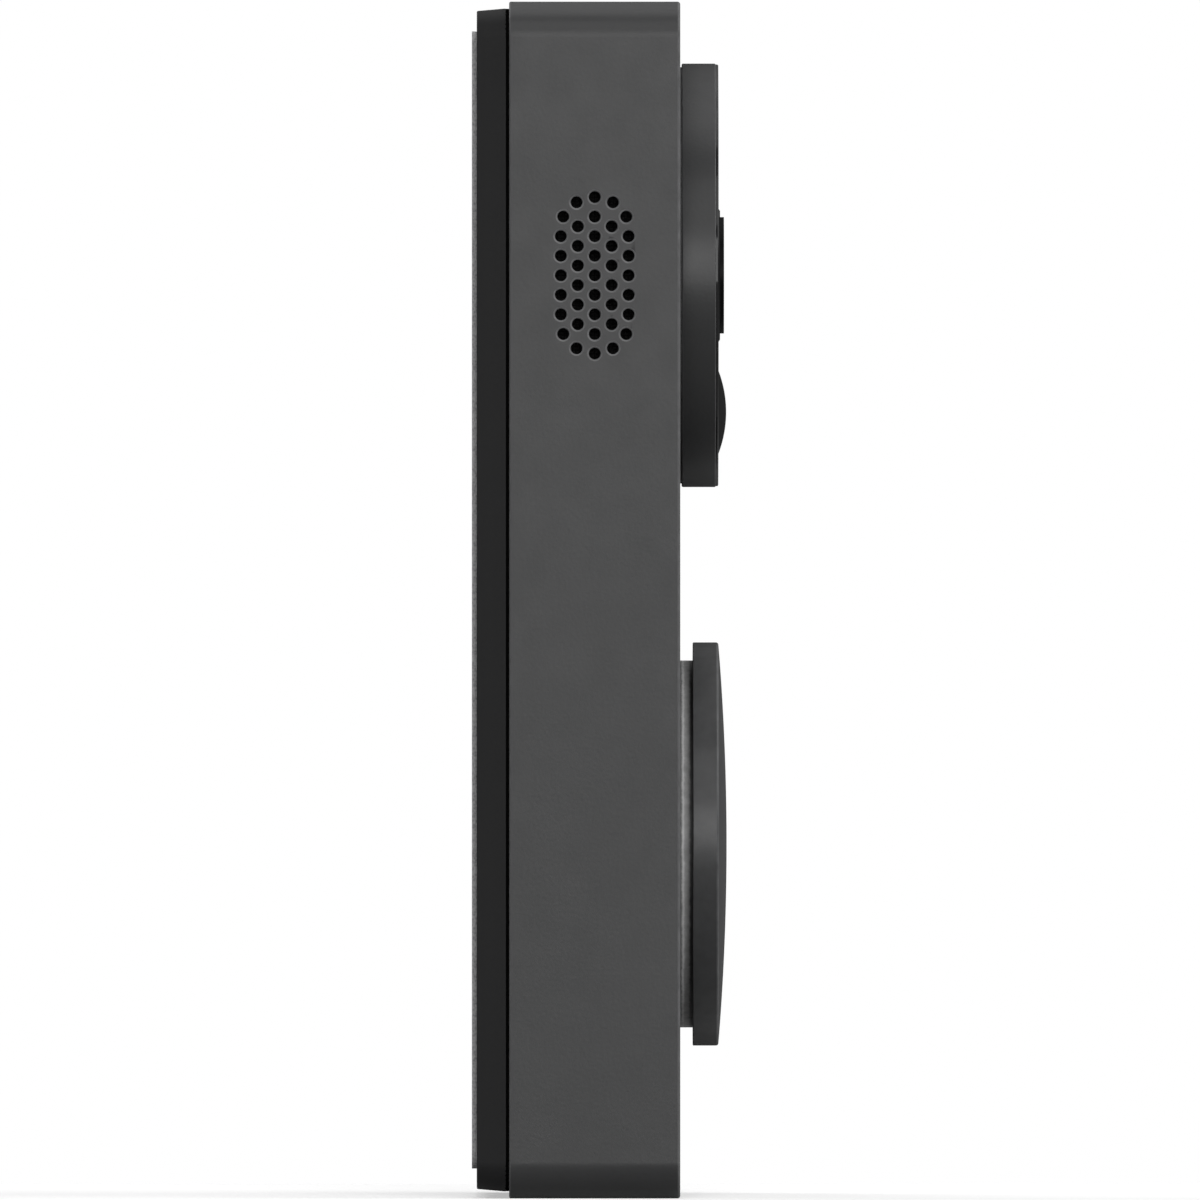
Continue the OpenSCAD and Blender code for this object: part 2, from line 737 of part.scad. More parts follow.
module camera_seal() {
    color("#151515") in_disc() difference() {
        tube(disc_d - 2 * seal_inset, bezel_flange_d, shell_front, bezel_rear);
        bezel_posts() rod(screw_clear_d, shell_front - cut, bezel_rear + cut);
    }
}

module bezel_posts() {
    for (a = bezel_post_angles) at(bezel_post_r * cos(a), bezel_post_r * sin(a)) children();
}

module camera_bezel() {
    color("#515151") in_disc() difference() {
        union() {
            turned([
                [bezel_flange_d / 2, bezel_rear], [disc_d / 2, bezel_rear], [disc_d / 2, bezel_front],
                [disc_inner_d / 2, bezel_front], [disc_inner_d / 2, optics_rear],
                [bezel_flange_d / 2, optics_rear]
            ]);
            bezel_posts() rod(bezel_post_d, optics_rear - bite, window_rear - fit);
        }
        bezel_posts() rod(pilot_d, bezel_rear - cut, window_rear - fit - 0.8);
    }
}

module bezel_screws() {
    color("silver") in_disc() bezel_posts() translate([0, -shell_inside, 0]) difference() {
        pan_screw(small_head_d, bezel_head_t, window_rear - shell_inside - 1.2);
        cross_recess(2, bezel_head_t);
    }
}

module camera_window() {
    color("#08090a") in_disc() difference() {
        turned([
            [0, window_rear], [disc_inner_d / 2 - glide, window_rear], [disc_inner_d / 2 - glide, bezel_front],
            [disc_d / 2 - 0.1, bezel_front], [disc_d / 2 - 0.1, disc_front - 0.1],
            [disc_d / 2 - 0.2, disc_front], [0, disc_front]
        ]);
        rod(lens_neck_d + 2 * glide, window_rear - cut, disc_front + cut);
        at(0, -dome_drop) rod(dome_d + 2 * glide, window_rear - cut, disc_front + cut);
    }
}

module lens_trim() {
    color("#0d0d0e") in_disc() turned([
        [trim_bore_r, trim_rear], [lens_neck_d / 2, trim_rear], [lens_neck_d / 2, disc_front],
        [trim_d / 2, disc_front], [trim_d / 2 - 0.25, disc_front + trim_h],
        [glass_d / 2 + glide, disc_front + trim_h], [glass_d / 2 + glide, glass_rear], [trim_bore_r, glass_rear]
    ]);
}

module lens_glass() {
    color("#20242a", 0.5) in_disc() turned([
        [0, glass_rear], [glass_d / 2, glass_rear], [glass_d / 2, disc_front + glass_h - 0.15],
        [glass_d / 2 - 0.15, disc_front + glass_h], [0, disc_front + glass_h]
    ]);
}

module lens_barrel() {
    foot_rear = holder_front - 1.6;
    color("#101010") in_disc() turned([
        [2.2, foot_rear], [barrel_foot_d / 2, foot_rear], [barrel_foot_d / 2, holder_front],
        [barrel_d / 2, holder_front], [barrel_d / 2, barrel_front - 0.3], [barrel_d / 2 - 0.3, barrel_front],
        [barrel_d / 2 - 1, barrel_front], [barrel_bore_d / 2, barrel_front - 1.2],
        [barrel_bore_d / 2, barrel_front - 2.2], [2.2, barrel_front - 2.2]
    ]);
}

module front_lens() {
    rear = barrel_front - 2.2 + glide;
    d = barrel_bore_d - 2 * glide;
    color("#30405a", 0.5) in_disc()
        turned(concat([[0, rear], [d / 2, rear]], dome_outline(d, rear + 0.9, 0.9)));
}

module lens_holder() {
    color("#181818") in_disc() difference() {
        block(holder_w, holder_w, camera_board_front, holder_front);
        block(holder_w - 2 * holder_wall, holder_w - 2 * holder_wall,
              camera_board_front - cut, camera_board_front + 0.9);
        rod(barrel_foot_d + 2 * glide, camera_board_front, holder_front + cut);
    }
}

module image_sensor() {
    color("#4a5560") in_disc() block(7, 6, camera_board_front, camera_board_front + 0.7);
}

module camera_board() {
    color("#1f5a35") in_disc() block(camera_board_w, camera_board_w, camera_board_rear, camera_board_front);
}

module camera_connector() {
    color("#c9b37a") in_disc() block(8, 3, board_front, camera_board_rear);
}

module optics_board() {
    color("#1f5a35") in_disc() difference() {
        rod(optics_d, optics_rear, optics_front);
        rod(barrel_d + 1.2, optics_rear - cut, optics_front + cut);
        bezel_posts() rod(bezel_post_d + 0.4, optics_rear - cut, optics_front + cut);
    }
}

module optics_flex() {
    color("#b5651d") in_disc() at(0, disc_opening_d / 2 - 3) {
        block(8, 0.3, board_front, optics_rear);
        at(0, -1) block(9, 1.6, board_front, board_front + 1);
        at(0, -1) block(9, 1.6, optics_rear - 1, optics_rear);
    }
}

module infrared_leds() {
    color("#d8d8c8") in_disc() for (a = [45 : 90 : 315]) at(sensor_ring_r * cos(a), sensor_ring_r * sin(a)) {
        block(3, 3, optics_front, optics_front + 0.6);
        rod(2.2, optics_front + 0.6 - bite, optics_front + 1);
    }
}

module light_sensor() {
    color("#c0b0a0") in_disc() at(0, sensor_ring_r + 2) block(2, 2, optics_front, optics_front + 0.7);
}

module motion_dome() {
    rear = window_rear - dome_skin;
    flange_r = dome_d / 2 + dome_flange;
    inner_d = dome_d - 2 * dome_skin;
    color("#0c0c0c") in_disc() at(0, -dome_drop) difference() {
        turned(concat([[0, rear], [flange_r, rear], [flange_r, window_rear], [dome_d / 2, window_rear]],
            dome_outline(dome_d, disc_front, dome_h)));
        turned(concat([[0, rear - cut], [inner_d / 2, rear - cut]],
            dome_outline(inner_d, disc_front - dome_skin, dome_h)));
    }
}

module motion_sensor() {
    color("silver") in_disc() at(0, -dome_drop) {
        rod(5, optics_front, optics_front + 1.6);
        rod(5.8, optics_front, optics_front + 0.3);
    }
}

// ---- Button ----

module in_cap() {
    at(0, cap_z) children();
}

module button_cap() {
    color("#4d4d4d") in_cap() difference() {
        turned(concat([[0, cap_rear], [cap_d / 2, cap_rear]], dome_outline(cap_d, cap_edge, cap_bulge)));
        rod(cap_d - 2 * cap_wall, cap_rear - cut, cap_inside);
    }
}

module light_ring() {
    outer = ring_d / 2;
    color("#9a9a9a") in_cap() turned([
        [outer - ring_wall, ring_rear], [outer - ring_skirt, ring_rear], [outer - ring_skirt, flange_rear],
        [flange_d / 2, flange_rear], [flange_d / 2, flange_front], [outer, flange_front],
        [outer, ring_front], [outer - ring_wall, ring_front]
    ]);
}

module button_carrier() {
    color("#e0e0dc") in_cap() {
        rod(carrier_d, carrier_rear, carrier_rear + carrier_t);
        rod(stem_d, plunger_top + glide, carrier_rear + bite);
        for (a = [45 : 90 : 315]) at(carrier_post_r * cos(a), carrier_post_r * sin(a))
            rod(carrier_post_d, carrier_rear + carrier_t - bite, cap_inside - glide);
    }
}

module button_spring() {
    room = carrier_rear - board_front - coil_wire - 2 * glide;
    color("silver") in_cap() translate([0, -board_front - coil_wire / 2 - glide, 0]) rotate([90, 0, 0])
        coil(coil_r, 3, room, coil_wire, 20);
}

module button_seal() {
    color("#1a1a1a") in_cap()
        tube(seal_d - 2 * glide, ring_d + 2 * glide, seal_rear + glide, seal_rear + seal_w - glide);
}

module switch_body() {
    color("#303030") in_cap() difference() {
        block(switch_w, switch_w, board_front, switch_top);
        rod(plunger_d + 2 * glide, board_front - cut, switch_top + cut);
    }
}

module switch_plunger() {
    color("#8a2f2a") in_cap() rod(plunger_d, plunger_rear, plunger_top);
}

module ring_leds() {
    color("#f0e8c0") in_cap() for (a = [0 : 45 : 315]) rotate([0, a, 0]) at(led_r, 0)
        block(1.4, 2, board_front, board_front + 0.55);
}

module microphone() {
    color("#b9b9b9") at(0, mic_z) block(3.8, 2.8, board_front, board_front + mic_h);
}

module microphone_gasket() {
    color("#1a1a1a") at(0, mic_z) tube(2.8, 1.2, board_front + mic_h, shell_inside);
}

// ---- Speaker ----

// A capsule-shaped plate across X at the grille, w deep and h high
module side_plate(w, h, x0, x1) {
    translate([x0, -grille_depth, grille_z]) rotate([90, 0, 90]) linear_extrude(x1 - x0) {
        square([w, h - w], center = true);
        for (z = [-1, 1]) translate([0, z * (h - w) / 2]) circle(d = w);
    }
}
module side_block(w, h, x0, x1) {
    translate([x0, -grille_depth - w / 2, grille_z - h / 2]) cube([x1 - x0, w, h]);
}

module speaker_mesh() {
    color("#0c0c0c") side_plate(sound_w + 1.4, sound_h + 1.4, left_inside, mesh_in);
}

module speaker_gasket() {
    color("#232323") difference() {
        side_block(speaker_w, speaker_h, mesh_in, gasket_in);
        side_plate(sound_w, sound_h, mesh_in - cut, gasket_in + cut);
    }
}

module speaker_frame() {
    color("#202020") difference() {
        side_block(speaker_w, speaker_h, gasket_in, frame_in);
        side_plate(sound_w + 1.2, sound_h + 1.2, gasket_in - cut, frame_in - 0.6);
    }
}

module speaker_cone() {
    color("#3a3a3a") difference() {
        side_plate(sound_w + 1, sound_h + 1, gasket_in + 0.3, frame_in - 0.7);
        side_plate(sound_w - 0.2, sound_h - 0.2, gasket_in, gasket_in + 1.2);
    }
}

module speaker_magnet() {
    color("#a8a8a8") side_block(speaker_w - 5.2, speaker_h - 9, frame_in, frame_in + magnet_t);
}

// ---- Buttons on the back ----

module pusher(d, from) {
    rod(d, from, panel_front + guide_len - 1);
    rod(small_key_d, panel_front + guide_len - 1 - bite, board_rear - small_switch_h + small_key_in);
}
module small_switch() {
    difference() {
        block(small_switch_w, small_switch_w, board_rear - small_switch_h, board_rear);
        rod(small_key_d + 2 * glide, board_rear - small_switch_h - cut, board_rear - 0.4);
    }
}

module reset_button() {
    color("#8c8c8c") at(reset_x, lower_z) pusher(reset_d, panel_rear + 0.3);
}

module reset_switch() {
    color("#202020") at(reset_x, lower_z) small_switch();
}

module tamper_plunger() {
    color("#8c8c8c") at(tamper_x, tamper_z) pusher(tamper_d, plate_floor + fit);
}

module tamper_switch() {
    color("#202020") at(tamper_x, tamper_z) small_switch();
}

adhesive_pad();
wall_plate();
front_shell();
security_screw();
battery_tray();
tray_gasket();
tray_screws();
batteries();
battery_springs();
battery_contacts();
main_board();
board_screws();
shield_can();
board_chips();
power_capacitor();
antenna();
terminal_block();
terminal_screws();
camera_seal();
camera_bezel();
bezel_screws();
camera_window();
lens_trim();
lens_glass();
lens_barrel();
front_lens();
lens_holder();
image_sensor();
camera_board();
camera_connector();
optics_board();
optics_flex();
infrared_leds();
light_sensor();
motion_dome();
motion_sensor();
button_cap();
light_ring();
button_carrier();
button_spring();
button_seal();
switch_body();
switch_plunger();
ring_leds();
microphone();
microphone_gasket();
speaker_mesh();
speaker_gasket();
speaker_frame();
speaker_cone();
speaker_magnet();
reset_button();
reset_switch();
tamper_plunger();
tamper_switch();
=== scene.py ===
# Battery video doorbell on its wall plate: finishes, fine shapes, floor, light and camera.
# Lengths are metres, and those written in millimetres are multiplied by MM. Depth is the distance
# from the wall towards the front, along -Y.
import json
import math

import bmesh
import bpy
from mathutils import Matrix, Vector


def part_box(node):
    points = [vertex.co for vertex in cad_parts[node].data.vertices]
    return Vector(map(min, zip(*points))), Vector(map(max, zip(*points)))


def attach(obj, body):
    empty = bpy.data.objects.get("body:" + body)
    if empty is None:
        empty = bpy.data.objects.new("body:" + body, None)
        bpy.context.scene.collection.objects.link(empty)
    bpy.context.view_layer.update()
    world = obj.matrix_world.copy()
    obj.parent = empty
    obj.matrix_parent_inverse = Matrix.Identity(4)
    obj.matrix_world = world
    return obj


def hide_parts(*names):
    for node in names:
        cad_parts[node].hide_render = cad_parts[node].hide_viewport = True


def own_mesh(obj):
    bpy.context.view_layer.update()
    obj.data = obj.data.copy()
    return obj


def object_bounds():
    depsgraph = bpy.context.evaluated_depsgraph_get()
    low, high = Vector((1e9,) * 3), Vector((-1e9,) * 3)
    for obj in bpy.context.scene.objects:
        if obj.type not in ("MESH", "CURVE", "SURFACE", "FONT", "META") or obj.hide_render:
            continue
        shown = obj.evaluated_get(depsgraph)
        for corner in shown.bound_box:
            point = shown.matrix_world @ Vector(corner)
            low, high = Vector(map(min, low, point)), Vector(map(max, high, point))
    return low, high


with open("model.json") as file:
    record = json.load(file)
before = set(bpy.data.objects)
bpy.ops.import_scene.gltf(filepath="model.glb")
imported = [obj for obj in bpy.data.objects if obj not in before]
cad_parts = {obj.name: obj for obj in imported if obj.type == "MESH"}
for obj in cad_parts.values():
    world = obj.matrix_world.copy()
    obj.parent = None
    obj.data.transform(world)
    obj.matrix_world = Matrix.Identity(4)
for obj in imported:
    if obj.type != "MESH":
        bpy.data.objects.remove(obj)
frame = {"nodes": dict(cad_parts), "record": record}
cad_low, cad_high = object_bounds()
cad_nodes = frame["nodes"]
record = frame["record"]
body_of_node = {n: body for body, names in record["behaviour"]["bodies"].items() for n in names}
slot_of_node = {row["node"]: row["material_slot"] for row in record["subparts"]}
scene = bpy.context.scene
MM = 0.001
NO_TURN = (0.0, 0.0, 0.0)
FACES_FRONT = (math.pi / 2, 0.0, 0.0)
FACES_REAR = (-math.pi / 2, 0.0, 0.0)


# ---- Places and sizes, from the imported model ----


def middle(node):
    low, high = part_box(node)
    return (low + high) / 2


def rear_depth(node):
    return -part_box(node)[1].y


def front_depth(node):
    return -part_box(node)[0].y


def half_width(node):
    low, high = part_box(node)
    return (high.x - low.x) / 2


def span_mm(node):
    """Half the node's width, its rear depth and its front depth, in millimetres."""
    return half_width(node) / MM, rear_depth(node) / MM, front_depth(node) / MM


shell_low, shell_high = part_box("front_shell")
shell_front = front_depth("front_shell")
shell_rear = rear_depth("front_shell")
plate_front = shell_rear - 0.15 * MM
disc_z = middle("camera_bezel").z
cap_z = middle("button_cap").z


# ---- Camera ----


def in_scene(name, data):
    """A new object with this data, in the scene."""
    made = bpy.data.objects.new(name, data)
    scene.collection.objects.link(made)
    return made


def add_camera():
    """A long lens, level with the doorbell's middle, that looks at its left side."""
    data = bpy.data.cameras.new("side_camera")
    data.sensor_width = 36
    data.lens = 1602
    data.clip_start, data.clip_end = 0.1, 20
    distance, aimed_depth = 6.0525, 14.45 * MM
    camera = in_scene("side_camera", data)
    camera.location = (-distance, -aimed_depth, 0)
    camera.rotation_mode = "QUATERNION"
    camera.rotation_quaternion = Vector((1, 0, 0)).to_track_quat("-Z", "Y")
    scene.camera = camera


# ---- Laying nodes ----


class Wire:
    """An output of a laid node. A sum, difference, product or quotient of wires and numbers lays
    the node that works it out."""

    def __init__(self, socket):
        self.socket = socket

    def __add__(self, other):
        return maths("ADD", self, other)

    def __radd__(self, other):
        return maths("ADD", other, self)

    def __sub__(self, other):
        return maths("SUBTRACT", self, other)

    def __rsub__(self, other):
        return maths("SUBTRACT", other, self)

    def __mul__(self, other):
        return maths("MULTIPLY", self, other)

    def __truediv__(self, other):
        return maths("DIVIDE", self, other)


def wires(sockets):
    return {socket.name: Wire(socket) for socket in sockets}


def tree_of(*values):
    return next(value.socket.id_data for value in values if isinstance(value, Wire))


def connect(node, inputs):
    """Feeds a node's inputs, by name or number, from wires or with plain values."""
    for key, value in inputs.items():
        if isinstance(value, Wire):
            node.id_data.links.new(value.socket, node.inputs[key])
        else:
            node.inputs[key].default_value = value


def lay_node(tree, kind, inputs, **settings):
    node = tree.nodes.new(kind)
    for key, value in settings.items():
        setattr(node, key, value)
    connect(node, inputs)
    return node


def lay(tree, kind, inputs=None, out=0, **settings):
    """Adds a node and gives the wire of its first output, or of the one asked for."""
    return Wire(lay_node(tree, kind, inputs or {}, **settings).outputs[out])


def maths(operation, *values, clamp=False):
    return lay(tree_of(*values), "ShaderNodeMath", dict(enumerate(values)), operation=operation,
               use_clamp=clamp)


def blend_colours(share, first, second, mode="MIX"):
    return lay(tree_of(share), "ShaderNodeMix", {0: share, 6: first, 7: second}, 2, data_type="RGBA",
               blend_type=mode)


def remap(value, low, high, to_low=0.0, to_high=1.0):
    inputs = {"Value": value, "From Min": low, "From Max": high, "To Min": to_low, "To Max": to_high}
    return lay(tree_of(value), "ShaderNodeMapRange", inputs)


def noise(place, scale, detail, roughness=0.5):
    inputs = {"Vector": place, "Scale": scale, "Detail": detail, "Roughness": roughness}
    return lay(tree_of(place), "ShaderNodeTexNoise", inputs, "Fac")


def cell_distance(place, scale, randomness=1.0, **settings):
    inputs = {"Vector": place, "Scale": scale, "Randomness": randomness}
    return lay(tree_of(place), "ShaderNodeTexVoronoi", inputs, "Distance", **settings)


def stretched(place, by):
    return lay(tree_of(place), "ShaderNodeVectorMath", {0: place, 1: by}, operation="MULTIPLY")


def grey(value):
    return (value, value, value, 1.0)


def add_sockets(tree, labels, in_out="INPUT"):
    """Named sockets. Each has a starting value, which tells its kind, or else the kind's name."""
    kinds = {int: "Int", float: "Float", tuple: "Vector"}
    for label, value in labels.items():
        kind = kinds.get(type(value), value)
        socket = tree.interface.new_socket(label, in_out=in_out, socket_type=f"NodeSocket{kind}")
        if kind != value:
            socket.default_value = value


def ends(tree):
    """A tree's inputs as wires by name, and the node that its results go to."""
    return wires(tree.nodes.new("NodeGroupInput").outputs), tree.nodes.new("NodeGroupOutput")


def new_group(name, inputs, outputs):
    """A shader node group that reads a place, and its two ends."""
    group = bpy.data.node_groups.new(name, "ShaderNodeTree")
    add_sockets(group, {"Place": "Vector", **inputs})
    add_sockets(group, dict.fromkeys(outputs, "Float"), "OUTPUT")
    return (group, *ends(group))


def place_group(group, place, **values):
    node = tree_of(place).nodes.new("ShaderNodeGroup")
    node.node_tree = group
    connect(node, {"Place": place, **values})
    return wires(node.outputs)


# ---- Effects that several finishes share ----


def make_moulded_grain():
    """Fine texture of a moulded surface: soft blotches, a grain and its height."""
    group, start, end = new_group("moulded_grain", {"Grain": 2500.0, "Blotch": 260.0},
                                  ["Shade", "Gloss Change", "Height"])
    place = start["Place"]
    fine = noise(place, start["Grain"], 3.0, 0.6)
    blotch = noise(place, start["Blotch"], 4.0, 0.55)
    pits = cell_distance(place, start["Grain"], feature="SMOOTH_F1")
    shade = remap(blotch, 0.3, 0.7, -0.6, 0.6) + remap(fine, 0.3, 0.7, -0.4, 0.4)
    connect(end, {"Shade": remap(shade, -1, 1), "Gloss Change": remap(blotch, 0.3, 0.7, -1, 1),
                  "Height": fine * 0.6 + pits * 0.4})
    return group


def make_edge_highlight_and_wear():
    """Painted highlight and wear on edges: the mesh's own 'edge' mark, broken up so that it isn't even.
    """
    group, start, end = new_group("edge_highlight_and_wear", {"Breaks": 700.0, "Amount": 1.0}, ["Mask"])
    mark = lay(group, "ShaderNodeAttribute", out="Fac", attribute_name="edge")
    broken = remap(noise(start["Place"], start["Breaks"], 3.0), 0.3, 0.7, 0.55, 1.0)
    connect(end, {"Mask": maths("MULTIPLY", mark * broken, start["Amount"], clamp=True)})
    return group


def make_brushed_lines():
    """Fine lines along one axis, for rolled and brushed metal. Stretch is set per axis."""
    group, start, end = new_group("brushed_lines", {"Stretch": (4000.0, 4000.0, 300.0)},
                                  ["Shade", "Gloss Change", "Height"])
    lines = noise(stretched(start["Place"], start["Stretch"]), 1.0, 4.0, 0.65)
    stains = noise(start["Place"], 420.0, 3.0, 0.6)
    connect(end, {"Shade": remap(lines + stains, 0.7, 1.3),
                  "Gloss Change": remap(stains, 0.3, 0.7, -1, 1), "Height": lines})
    return group


def make_soft_cells():
    """Open cells of foam, or the fine speckle of rubber when they are small."""
    group, start, end = new_group("soft_cells", {"Cells": 3000.0}, ["Shade", "Height"])
    rounded = remap(cell_distance(start["Place"], start["Cells"]), 0.0, 0.8)
    fuzz = noise(start["Place"], start["Cells"] * 0.3, 4.0, 0.7)
    connect(end, {"Shade": remap(rounded + fuzz, 0.5, 1.4), "Height": rounded + fuzz * 0.5})
    return group


def make_handling_smudges():
    """Faint smudges and dust on polished surfaces."""
    group, start, end = new_group("handling_smudges", {"Size": 180.0}, ["Smudge", "Dust"])
    smear = noise(start["Place"], start["Size"], 5.0, 0.62)
    specks = cell_distance(start["Place"], start["Size"] * 9.0)
    connect(end, {"Smudge": remap(smear, 0.45, 0.75), "Dust": remap(specks, 0.12, 0.04)})
    return group


def make_board_print():
    """Copper under solder mask: tracks on a grid, vias and small tinned pads."""
    group, start, end = new_group("board_print", {"Pitch": 900.0}, ["Copper", "Tin", "Height"])
    flat = stretched(start["Place"], (1.0, 0.0, 1.0))
    tracks = cell_distance(flat, start["Pitch"] * 0.45, distance="MANHATTAN")
    copper = maths("GREATER_THAN", maths("FRACT", tracks * 5.0), 0.55)
    tin = maths("LESS_THAN", cell_distance(flat, start["Pitch"], 0.6), 0.16)
    connect(end, {"Copper": copper, "Tin": tin, "Height": copper * 0.5 + tin})
    return group


moulded_grain = make_moulded_grain()
edge_highlight_and_wear = make_edge_highlight_and_wear()
brushed_lines = make_brushed_lines()
soft_cells = make_soft_cells()
handling_smudges = make_handling_smudges()
board_print = make_board_print()


# ---- Finishes ----


def emptied(owner):
    """The node tree of a material or world, with nothing in it."""
    owner.use_nodes = True
    owner.node_tree.nodes.clear()
    return owner.node_tree


def feed(shader, **values):
    connect(shader, {key.replace("_", " "): value for key, value in values.items()})


def new_finish(name, **constants):
    """A material with one Principled shader, constants set on its own sockets, and its place."""
    material = bpy.data.materials.new(name)
    tree = emptied(material)
    shader = tree.nodes.new("ShaderNodeBsdfPrincipled")
    connect(tree.nodes.new("ShaderNodeOutputMaterial"), {0: Wire(shader.outputs[0])})
    feed(shader, **constants)
    return material, shader, lay(tree, "ShaderNodeTexCoord", out="Object")


def bump(height, distance):
    return lay(tree_of(height), "ShaderNodeBump", {"Height": height, "Distance": distance})


def matt_at_a_slant(tree, gloss, slant_gloss):
    """Roughness that grows where the surface is seen at a slant, as on a fine matt texture."""
    facing = lay(tree, "ShaderNodeLayerWeight", {"Blend": 0.5}, "Facing")
    return gloss + maths("POWER", facing, 2.0) * (slant_gloss - gloss)


def tint(colour, factor):
    return tuple(min(1.0, c * factor) for c in colour[:3]) + (1.0,)


# A mask of the marked roundings, where the finishes lighten the colour as painted highlight and wear.
def edge_highlight_mask(place, amount=1.0):
    return place_group(edge_highlight_and_wear, place, Amount=amount)["Mask"]


def mottled(shade, lit_edges, colour, spread, highlight_factor):
    """The colour, varied by the shade on both sides, and lighter on the edges as painted highlight and
    wear.
    """
    body = blend_colours(shade, tint(colour, 1 - spread), tint(colour, 1 + spread))
    return blend_colours(lit_edges, body, tint(colour, highlight_factor))


def moulded_plastic(name, colour, gloss, level, spread=0.06, grain=2600.0, depth=0.012 * MM,
                    highlight_factor=1.5):
    """Moulded plastic: blotched colour, fine grain, edges smoother and lighter as painted highlight and
    wear.
    """
    edge_gloss, slant_gloss = -0.08, 1.0
    material, shader, place = new_finish(name, Specular_IOR_Level=level)
    skin = place_group(moulded_grain, place, Grain=grain)
    lit_edges = edge_highlight_mask(place)
    rough = matt_at_a_slant(material.node_tree, gloss, slant_gloss) + skin["Gloss Change"] * 0.03
    feed(shader, Base_Color=mottled(skin["Shade"], lit_edges, colour, spread, highlight_factor),
         Roughness=maths("ADD", rough, lit_edges * edge_gloss, clamp=True),
         Normal=bump(skin["Height"], depth))
    return material


def polished_black(name, colour, gloss, slant_gloss, level=0.15):
    """Black gloss with faint smudges and dust, satin where it turns away."""
    material, shader, place = new_finish(name, Specular_IOR_Level=level)
    wear = place_group(handling_smudges, place)
    dusty = blend_colours(wear["Dust"] * 0.25, colour, tint(colour, 9))
    rough = matt_at_a_slant(material.node_tree, gloss, slant_gloss)
    # The edges are lightened as painted highlight and wear.
    feed(shader, Base_Color=blend_colours(edge_highlight_mask(place, 0.5), dusty, tint(colour, 2)),
         Roughness=maths("ADD", rough, wear["Smudge"] * 0.05, clamp=True),
         Normal=bump(wear["Smudge"], 0.0006 * MM))
    return material


def plated_metal(name, colour, gloss, stretch=(4000.0, 4000.0, 400.0), spread=0.12):
    """Rolled or brushed metal, with faint stains, and edges lightened as painted highlight and wear."""
    material, shader, place = new_finish(name, Metallic=1.0)
    lines = place_group(brushed_lines, place, Stretch=stretch)
    feed(shader, Base_Color=mottled(lines["Shade"], edge_highlight_mask(place), colour, spread, 1.25),
         Roughness=gloss + lines["Gloss Change"] * 0.06, Normal=bump(lines["Height"], 0.004 * MM))
    return material


def soft_material(name, colour, cells, depth, gloss=0.85, level=0.3):
    """Foam, gauze and rubber, and the black of a painted seam shadow, by the size of their cells."""
    material, shader, place = new_finish(name, Specular_IOR_Level=level)
    soft = place_group(soft_cells, place, Cells=cells)
    # The edges are lightened as painted highlight and wear.
    feed(shader, Base_Color=mottled(soft["Shade"], edge_highlight_mask(place), colour, 0.3, 1.3),
         Roughness=gloss + soft["Shade"] * 0.08, Normal=bump(soft["Height"], depth))
    return material


def clear_glass(name, colour, ior):
    """Coated glass, which reflects less than bare glass."""
    material, shader, place = new_finish(name, Transmission_Weight=1.0, IOR=ior)
    smudge = place_group(handling_smudges, place, Size=300.0)["Smudge"]
    feed(shader, Base_Color=blend_colours(smudge * 0.3, colour, tint(colour, 0.8)),
         Roughness=0.02 + smudge * 0.03, Normal=bump(smudge, 0.0004 * MM))
    return material


def light_guide_finish(name):
    """Frosted light guide with a cloudy grain. Its colour runs by depth: painted shade in the corner at
    the shell, pale beside the shell, and painted shade that darkens it under the cap.
    """
    band = 1.5 * MM
    # Grey by depth from the shell's front: painted shade at the shell, the pale band, then painted shade
    # under the cap's overhang.
    painted_shade_stops = [(0.0, 0.10), (0.1, 0.21), (0.18, 0.50), (0.25, 0.54), (0.34, 0.31), (0.5, 0.225),
             (0.6, 0.19), (0.68, 0.145), (0.76, 0.045), (0.84, 0.011), (0.92, 0.010)]
    material, shader, place = new_finish(name, Specular_IOR_Level=0.25)
    tree = material.node_tree
    frost = place_group(moulded_grain, place, Grain=1500.0, Blotch=900.0)
    depth = lay(tree, "ShaderNodeSeparateXYZ", {0: place}, "Y") * -1.0
    clouds = (noise(place, 1100.0, 4.0, 0.7) - 0.5) * (0.3 * MM)
    share = remap(depth + clouds, shell_front, shell_front + band)
    painted_shade_ramp = lay_node(tree, "ShaderNodeValToRGB", {0: share})
    ramp = painted_shade_ramp.color_ramp.elements
    ramp[0].position, ramp[1].position = painted_shade_stops[0][0], painted_shade_stops[-1][0]
    ramp[0].color, ramp[1].color = grey(painted_shade_stops[0][1]), grey(painted_shade_stops[-1][1])
    for position, value in painted_shade_stops[1:-1]:
        ramp.new(position).color = grey(value)
    grain_share = remap(frost["Shade"], 0.2, 0.8, 0.0, 0.45)
    feed(shader, Roughness=0.55 + frost["Gloss Change"] * 0.05, Normal=bump(frost["Height"], 0.03 * MM),
         Base_Color=blend_colours(grain_share, Wire(painted_shade_ramp.outputs[0]), grey(0.55), "MULTIPLY"))
    return material


def circuit_board_finish(name):
    """Green solder mask, darker between the tracks, with tinned pads."""
    material, shader, place = new_finish(name)
    layers = place_group(board_print, place)
    smudge = place_group(handling_smudges, place)["Smudge"]
    mask = blend_colours(layers["Copper"], (0.004, 0.052, 0.018, 1), (0.012, 0.11, 0.035, 1))
    feed(shader, Base_Color=blend_colours(layers["Tin"], mask, (0.55, 0.53, 0.48, 1)),
         Metallic=layers["Tin"], Roughness=0.28 + smudge * 0.12, Normal=bump(layers["Height"], 0.03 * MM))
    return material


